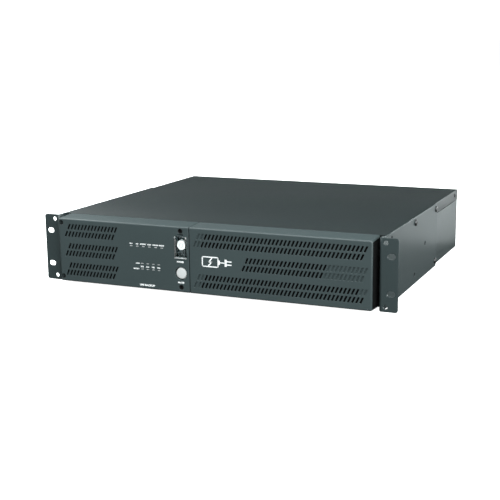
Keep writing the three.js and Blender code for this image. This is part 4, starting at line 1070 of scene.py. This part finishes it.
def build_fan_frame():
    x, z, hub, start, end = FAN.x, FAN.z, FAN.hub, FAN.rear, FAN.rear + FAN.deep
    form = Form(facing_rear)
    outer = rectangle(x, z, 2 * FAN.half, 2 * FAN.half, 4.5, 5)
    bore = circle(x, z, FAN.bore, 64)
    shell = form.stack([(outer(-0.5), start), (outer(), start + 0.5),
                        (outer(), end - 0.5), (outer(-0.5), end)])
    tunnel = form.stack([(bore(0.9), start), (bore(0.25), start + 1.2), (bore(), start + 3.0),
                         (bore(), end - 3.0), (bore(0.25), end - 1.2), (bore(0.9), end)])
    holes = [form.stack([(circle(x + i * FAN.hole, z + k * FAN.hole, FAN.hole_r, 20)(), deep)
                         for deep in (start, end)]) for i, k in FAN_CORNERS]
    for side in (0, -1):
        form.fill(shell[side], [tunnel[side], *[hole[side] for hole in holes]])
    form.turned(x, z, [(hub - 0.6, start), (hub, start + 0.6), (hub, start + FAN.strut)], 48)
    form.piece("fan_square_frame", "black", "black_plastic", "fan_frame")
    for number in range(4):
        turn = QUARTER * (number + 0.35)
        across, along = math.cos(turn), math.sin(turn)
        points = [facing_rear(x + r * across, z + r * along, start + 1.5) for r in (hub - 1, FAN.bore + 0.5)]
        tube(f"fan_strut_{number + 1}", points, FAN.strut / 2, "black", "black_plastic")


def blade_section(blade, share):
    """Points round a blade at a share of its length: curved, pitched, and thinner towards its tip."""
    start, end = FAN.rotor
    radius = FAN.hub - 0.6 + (FAN.tip - FAN.hub + 0.6) * share
    half_turn = 0.42 - 0.1 * share
    lead = 2 * math.pi * blade / FAN.blades + 0.25 * share * share
    thick = 0.75 - 0.3 * share
    points = []
    for face in (1, -1):
        for k in range(FAN.chords + 1):
            along = face * (1 - 2 * k / FAN.chords)
            bow = 1.6 * (1 - along * along)
            body = thick * math.sqrt(max(1 - along * along, 0.04))
            turn = lead + along * half_turn
            deep = (start + end) / 2 + along * (7.6 - 1.2 * share) + bow + face * body
            points.append((FAN.x + radius * math.cos(turn), FAN.z + radius * math.sin(turn), deep))
    return points


def build_fan_rotor():
    x, z, hub, (start, end) = FAN.x, FAN.z, FAN.hub, FAN.rotor
    profile = [(hub - 1.5, start), (hub - 0.4, start + 0.4), (hub, start + 1.5),
               (hub, end - 0.5), (hub - 0.5, end)]
    form = Form(facing_rear).turned(x, z, profile, 48)
    form.piece("fan_hub", "black", "black_plastic", "fan_rotor", body="fan_rotor")
    form = Form(facing_rear)
    for blade in range(FAN.blades):
        outlines = [blade_section(blade, i / FAN.spans) for i in range(FAN.spans + 1)]
        sections = [[form.bm.verts.new(at(*facing_rear(*point))) for point in points] for points in outlines]
        for a, b in zip(sections, sections[1:]):
            form.bridge(a, b)
        form.fill(sections[0])
        form.fill(sections[-1])
    form.piece("fan_blades", "black", "black_plastic", body="fan_rotor")


def ring_points(cx, cz, radius, deep, count=48):
    return [facing_rear(cx + radius * math.cos(2 * math.pi * i / count),
                        cz + radius * math.sin(2 * math.pi * i / count), deep) for i in range(count)]


def build_fan_guard():
    """Rings of round wire on crossed wires that end in eyes under the four screws."""
    x, z, wire, reach, loop = FAN.x, FAN.z, GUARD_WIRE.r, FAN.hole, GUARD_WIRE.loop
    for number, radius in enumerate(GUARD_WIRE.rings, 1):
        replaced = ["fan_guard"] if number == 1 else []
        points = ring_points(x, z, radius, GUARD_WIRE.ring_deep)
        tube(f"fan_guard_ring_{number}", points, wire, "steel", None, *replaced, closed=True)
    stop = reach - (loop - 0.3) / math.sqrt(2)
    for number, (i, k) in enumerate(FAN_CORNERS, 1):
        corner = (x + i * reach, z + k * reach)
        arm = [facing_rear(x + i * r, z + k * r, GUARD_WIRE.arm_deep) for r in (6.0, stop)]
        tube(f"fan_guard_arm_{number}", arm, wire, "steel")
        eye = ring_points(*corner, loop, GUARD_WIRE.arm_deep, 24)
        tube(f"fan_guard_eye_{number}", eye, wire, "steel", closed=True)
        screw = Form(facing_rear).pan_head(*corner, -SCREW_SEAT, *HEADS.fan)
        screw.piece(f"fan_screw_{number}", "oxide")


# -------- printing


def print_text(name, words, x, z, wide, high):
    """Flat printed words, centred at a place on the control bezel and scaled to a width and height."""
    curve = bpy.data.curves.new(name, "FONT")
    curve.body = words
    curve.offset = 0.06
    curve.resolution_u = 2
    curve.align_x = "CENTER"
    curve.align_y = "CENTER"
    mesh = mesh_of(curve)
    xs = [v.co.x for v in mesh.vertices]
    ys = [v.co.y for v in mesh.vertices]
    sx, sy = wide / (max(xs) - min(xs)), high / (max(ys) - min(ys))
    cx, cy = (max(xs) + min(xs)) / 2, (max(ys) + min(ys)) / 2
    for v in mesh.vertices:
        v.co = at(x + (v.co.x - cx) * sx, BEZEL.front - 0.03, z + (v.co.y - cy) * sy)
    add_piece(name, mesh, "print")


LAMP_WORDS = (("ON", 4.4), ("AC", 3.6), ("BATTERY", 8.6), ("FAULT", 5.4), ("OVERLOAD", 8.8), ("TEST", 7.4))
METER_WORDS = ("25", "50", "75", "100")
LABELS = (("load_label", "LOAD", -96.0, 34.7, 5.6, 1.6), ("battery_label", "BATTERY", -98.1, 27.5, 8.75, 1.6),
          ("power_label", "POWER", -34.75, 41.0, 10.0, 2.2), ("mute_label", "MUTE", -34.6, 14.5, 8.75, 2.2),
          ("kind_label", "UPS BACKUP", -83.0, 6.9, 22.0, 2.6))


def print_labels():
    for number, (words, wide) in enumerate(LAMP_WORDS):
        x = STATUS.x + number * STATUS.pitch
        print_text(f"lamp_label_{number + 1}", words, x, STATUS.label_z, wide, 1.7)
    for number, words in enumerate(METER_WORDS):
        x = METER.x + number * METER.pitch
        print_text(f"meter_label_{number + 1}", words, x, METER.label_z, 4.4, 1.7)
    for label in LABELS:
        print_text(*label)


# a battery with a bolt in it, and a lead that ends in a plug: width of each stroke, and its points
PICTOGRAM = (
    (1.3, ((-4.4, 38.4), (17.0, 38.4), (17.0, 50.4), (-4.4, 50.4), (-4.4, 38.4))),
    (1.8, ((18.6, 42.6), (18.6, 46.2))),
    (1.5, ((8.4, 49.0), (4.6, 44.2), (8.2, 44.2), (4.2, 39.8))),
    (1.1, ((19.6, 44.4), (26.5, 44.4))),
    (2.8, ((27.4, 41.4), (27.4, 47.4))),
    (1.3, ((29.6, 46.4), (34.6, 46.4))),
    (1.3, ((29.6, 42.4), (34.6, 42.4))),
)


def print_stroke(form, points, wide):
    """A printed line of one width through points, with square ends."""
    for (ax, az), (bx, bz) in zip(points, points[1:]):
        along = Vector((bx - ax, bz - az)).normalized() * wide / 2
        across = Vector((-along.y, along.x))
        corners = [(ax - along.x + across.x, az - along.y + across.y),
                   (ax - along.x - across.x, az - along.y - across.y),
                   (bx + along.x - across.x, bz + along.y - across.y),
                   (bx + along.x + across.x, bz + along.y + across.y)]
        rings = form.stack([(corners, BEZEL.front - 0.04), (corners, BEZEL.front - 0.005)])
        form.cap(rings[0])
        form.cap(rings[1])


def print_pictogram():
    form = Form()
    for wide, points in PICTOGRAM:
        print_stroke(form, points, wide)
    form.piece("battery_pictogram", "print", body="battery_door")


# -------- carried-over CAD nodes

CARRIED_NODES = {
    "paint": ("rear_panel",),
    "zinc": ("front_plate", "bay_divider", "bay_back_wall", "door_bracket", "battery_tray"),
    "board": ("control_board", "main_board"),
    "black": ("power_switch", "mute_switch", "battery_handle", "bulk_capacitor_1", "bulk_capacitor_2",
              "transfer_relay"),
    "ribbon": ("ribbon_cable",),
    "case": ("battery_1", "battery_2", "battery_3", "battery_4"),
    "red": ("battery_lead", "battery_plug", "battery_socket"),
    "iron": ("transformer_core",),
    "copper": ("transformer_winding",),
    "aluminium": ("inverter_heatsink", "charger_heatsink"),
}


def dress_nodes():
    for finish, names in CARRIED_NODES.items():
        for name in names:
            materials = NODES[name].data.materials
            materials.clear()
            materials.append(FINISH[finish])


# -------- stage

CAMERA = Sizes(place=(548.477, -1113.764, 321.135), yaw=-23.876, pitch=12.053, roll=-0.661, lens=73.72)


def add_camera():
    yaw, pitch, roll = (math.radians(angle) for angle in (CAMERA.yaw, CAMERA.pitch, CAMERA.roll))
    ahead = Vector((math.sin(yaw) * math.cos(pitch), math.cos(yaw) * math.cos(pitch), -math.sin(pitch)))
    level = Vector((math.cos(yaw), -math.sin(yaw), 0.0))
    up = level.cross(ahead)
    across = level * math.cos(roll) + up * math.sin(roll)
    over = up * math.cos(roll) - level * math.sin(roll)
    data = bpy.data.cameras.new("camera")
    data.lens = CAMERA.lens
    data.sensor_width = 36.0
    data.clip_end = 100.0
    camera = bpy.data.objects.new("camera", data)
    turn = Matrix((across, over, -ahead)).transposed()
    camera.matrix_world = Matrix.Translation(at(*CAMERA.place)) @ turn.to_4x4()
    bpy.context.scene.collection.objects.link(camera)
    bpy.context.scene.camera = camera


FLOOR = Sizes(half=40.0, z=-0.0005, glow=0.96)


def add_floor():
    mesh = bpy.data.meshes.new("floor")
    corners = [(x * FLOOR.half, y * FLOOR.half, FLOOR.z) for x, y in ((-1, -1), (1, -1), (1, 1), (-1, 1))]
    mesh.from_pydata(corners, [], [(0, 1, 2, 3)])
    floor = bpy.data.objects.new("floor", mesh)
    bpy.context.scene.collection.objects.link(floor)
    graph = Graph("pale_floor", Roughness=1.0, Specular_IOR_Level=0.0, Emission_Strength=FLOOR.glow,
                  Base_Color=(0.85, 0.85, 0.85, 1.0), Emission_Color=(1.0, 1.0, 1.0, 1.0))
    mesh.materials.append(graph.material)
    floor.visible_glossy = False
    floor.visible_diffuse = False


AMBIENT = 0.08
BACKDROP = 2.5
LIGHT_TINT = (0.93, 1.0, 1.005)


def add_world():
    """White behind the object for the camera, and a dim room for its light."""
    world = bpy.data.worlds.new("studio")
    bpy.context.scene.world = world
    world.use_nodes = True
    tree = world.node_tree
    room = tree.nodes["Background"]
    room.inputs["Color"].default_value = (1.0, 1.0, 1.0, 1.0)
    room.inputs["Strength"].default_value = AMBIENT
    white = tree.nodes.new("ShaderNodeBackground")
    white.inputs["Strength"].default_value = BACKDROP
    rays = tree.nodes.new("ShaderNodeLightPath")
    mix = tree.nodes.new("ShaderNodeMixShader")
    tree.links.new(rays.outputs["Is Camera Ray"], mix.inputs[0])
    tree.links.new(room.outputs[0], mix.inputs[1])
    tree.links.new(white.outputs[0], mix.inputs[2])
    tree.links.new(mix.outputs[0], tree.nodes["World Output"].inputs["Surface"])


MIDDLE = (0.0, 0.0, 0.04)
SOFTBOXES = (
    ("overhead", (0.0, -0.2, 1.6), MIDDLE, (1.6, 1.2), 26.0),
    ("over_left", (-1.5, 0.0, 1.0), MIDDLE, (1.9, 1.6), 46.0),
    ("front_high", (-0.2, -1.8, 1.3), MIDDLE, (1.4, 0.8), 28.0),
    ("front_right", (1.6, -1.6, 0.9), MIDDLE, (2.2, 1.5), 84.0),
    ("right", (2.0, 0.5, 0.55), MIDDLE, (1.9, 1.05), 34.0),
    ("right_back_low", (0.8, 1.5, 0.15), MIDDLE, (0.7, 0.25), 6.5),
    ("floor_card", (0.45, 0.47, 0.004), (0.45, 0.47, 1.0), (0.44, 0.56), 0.72),
)
REAR_FILL = ("rear_fill", (-0.6, 2.4, 0.9), MIDDLE, (1.6, 1.0), 70.0)


def add_softbox(name, place, aim, size, watts, glossy=True):
    data = bpy.data.lights.new(name, "AREA")
    data.shape = "RECTANGLE"
    data.size, data.size_y = size
    data.energy = watts
    data.color = LIGHT_TINT
    light = bpy.data.objects.new(name, data)
    light.location = place
    light.rotation_euler = (Vector(aim) - Vector(place)).to_track_quat("-Z", "Y").to_euler()
    light.visible_camera = False
    light.visible_glossy = glossy
    bpy.context.scene.collection.objects.link(light)


def add_lights():
    for softbox in SOFTBOXES:
        add_softbox(*softbox)
    add_softbox(*REAR_FILL, glossy=False)


# -------- build everything

bpy.context.scene.view_settings.view_transform = "Standard"
build_control_bezel()
build_battery_door()
build_catches()
build_shade_sheets()
build_shade_strips()
for side_sign, side_word in SIDES:
    build_ear(side_sign, side_word)
build_hole_shades()
build_ear_screws()
build_bezel_screws()
build_case()
build_lip_trim()
build_button("power_button_cap", "power_button", POWER)
build_button("mute_button_cap", "mute_button", MUTE)
build_power_symbol()
build_guard()
build_light_pipes()
build_outlets()
build_inlet()
build_breaker()
build_usb_port()
build_serial_port()
build_network_jacks()
build_slot_cover()
build_fan_frame()
build_fan_rotor()
build_fan_guard()
print_labels()
print_pictogram()
dress_nodes()
add_camera()
add_floor()
add_world()
add_lights()
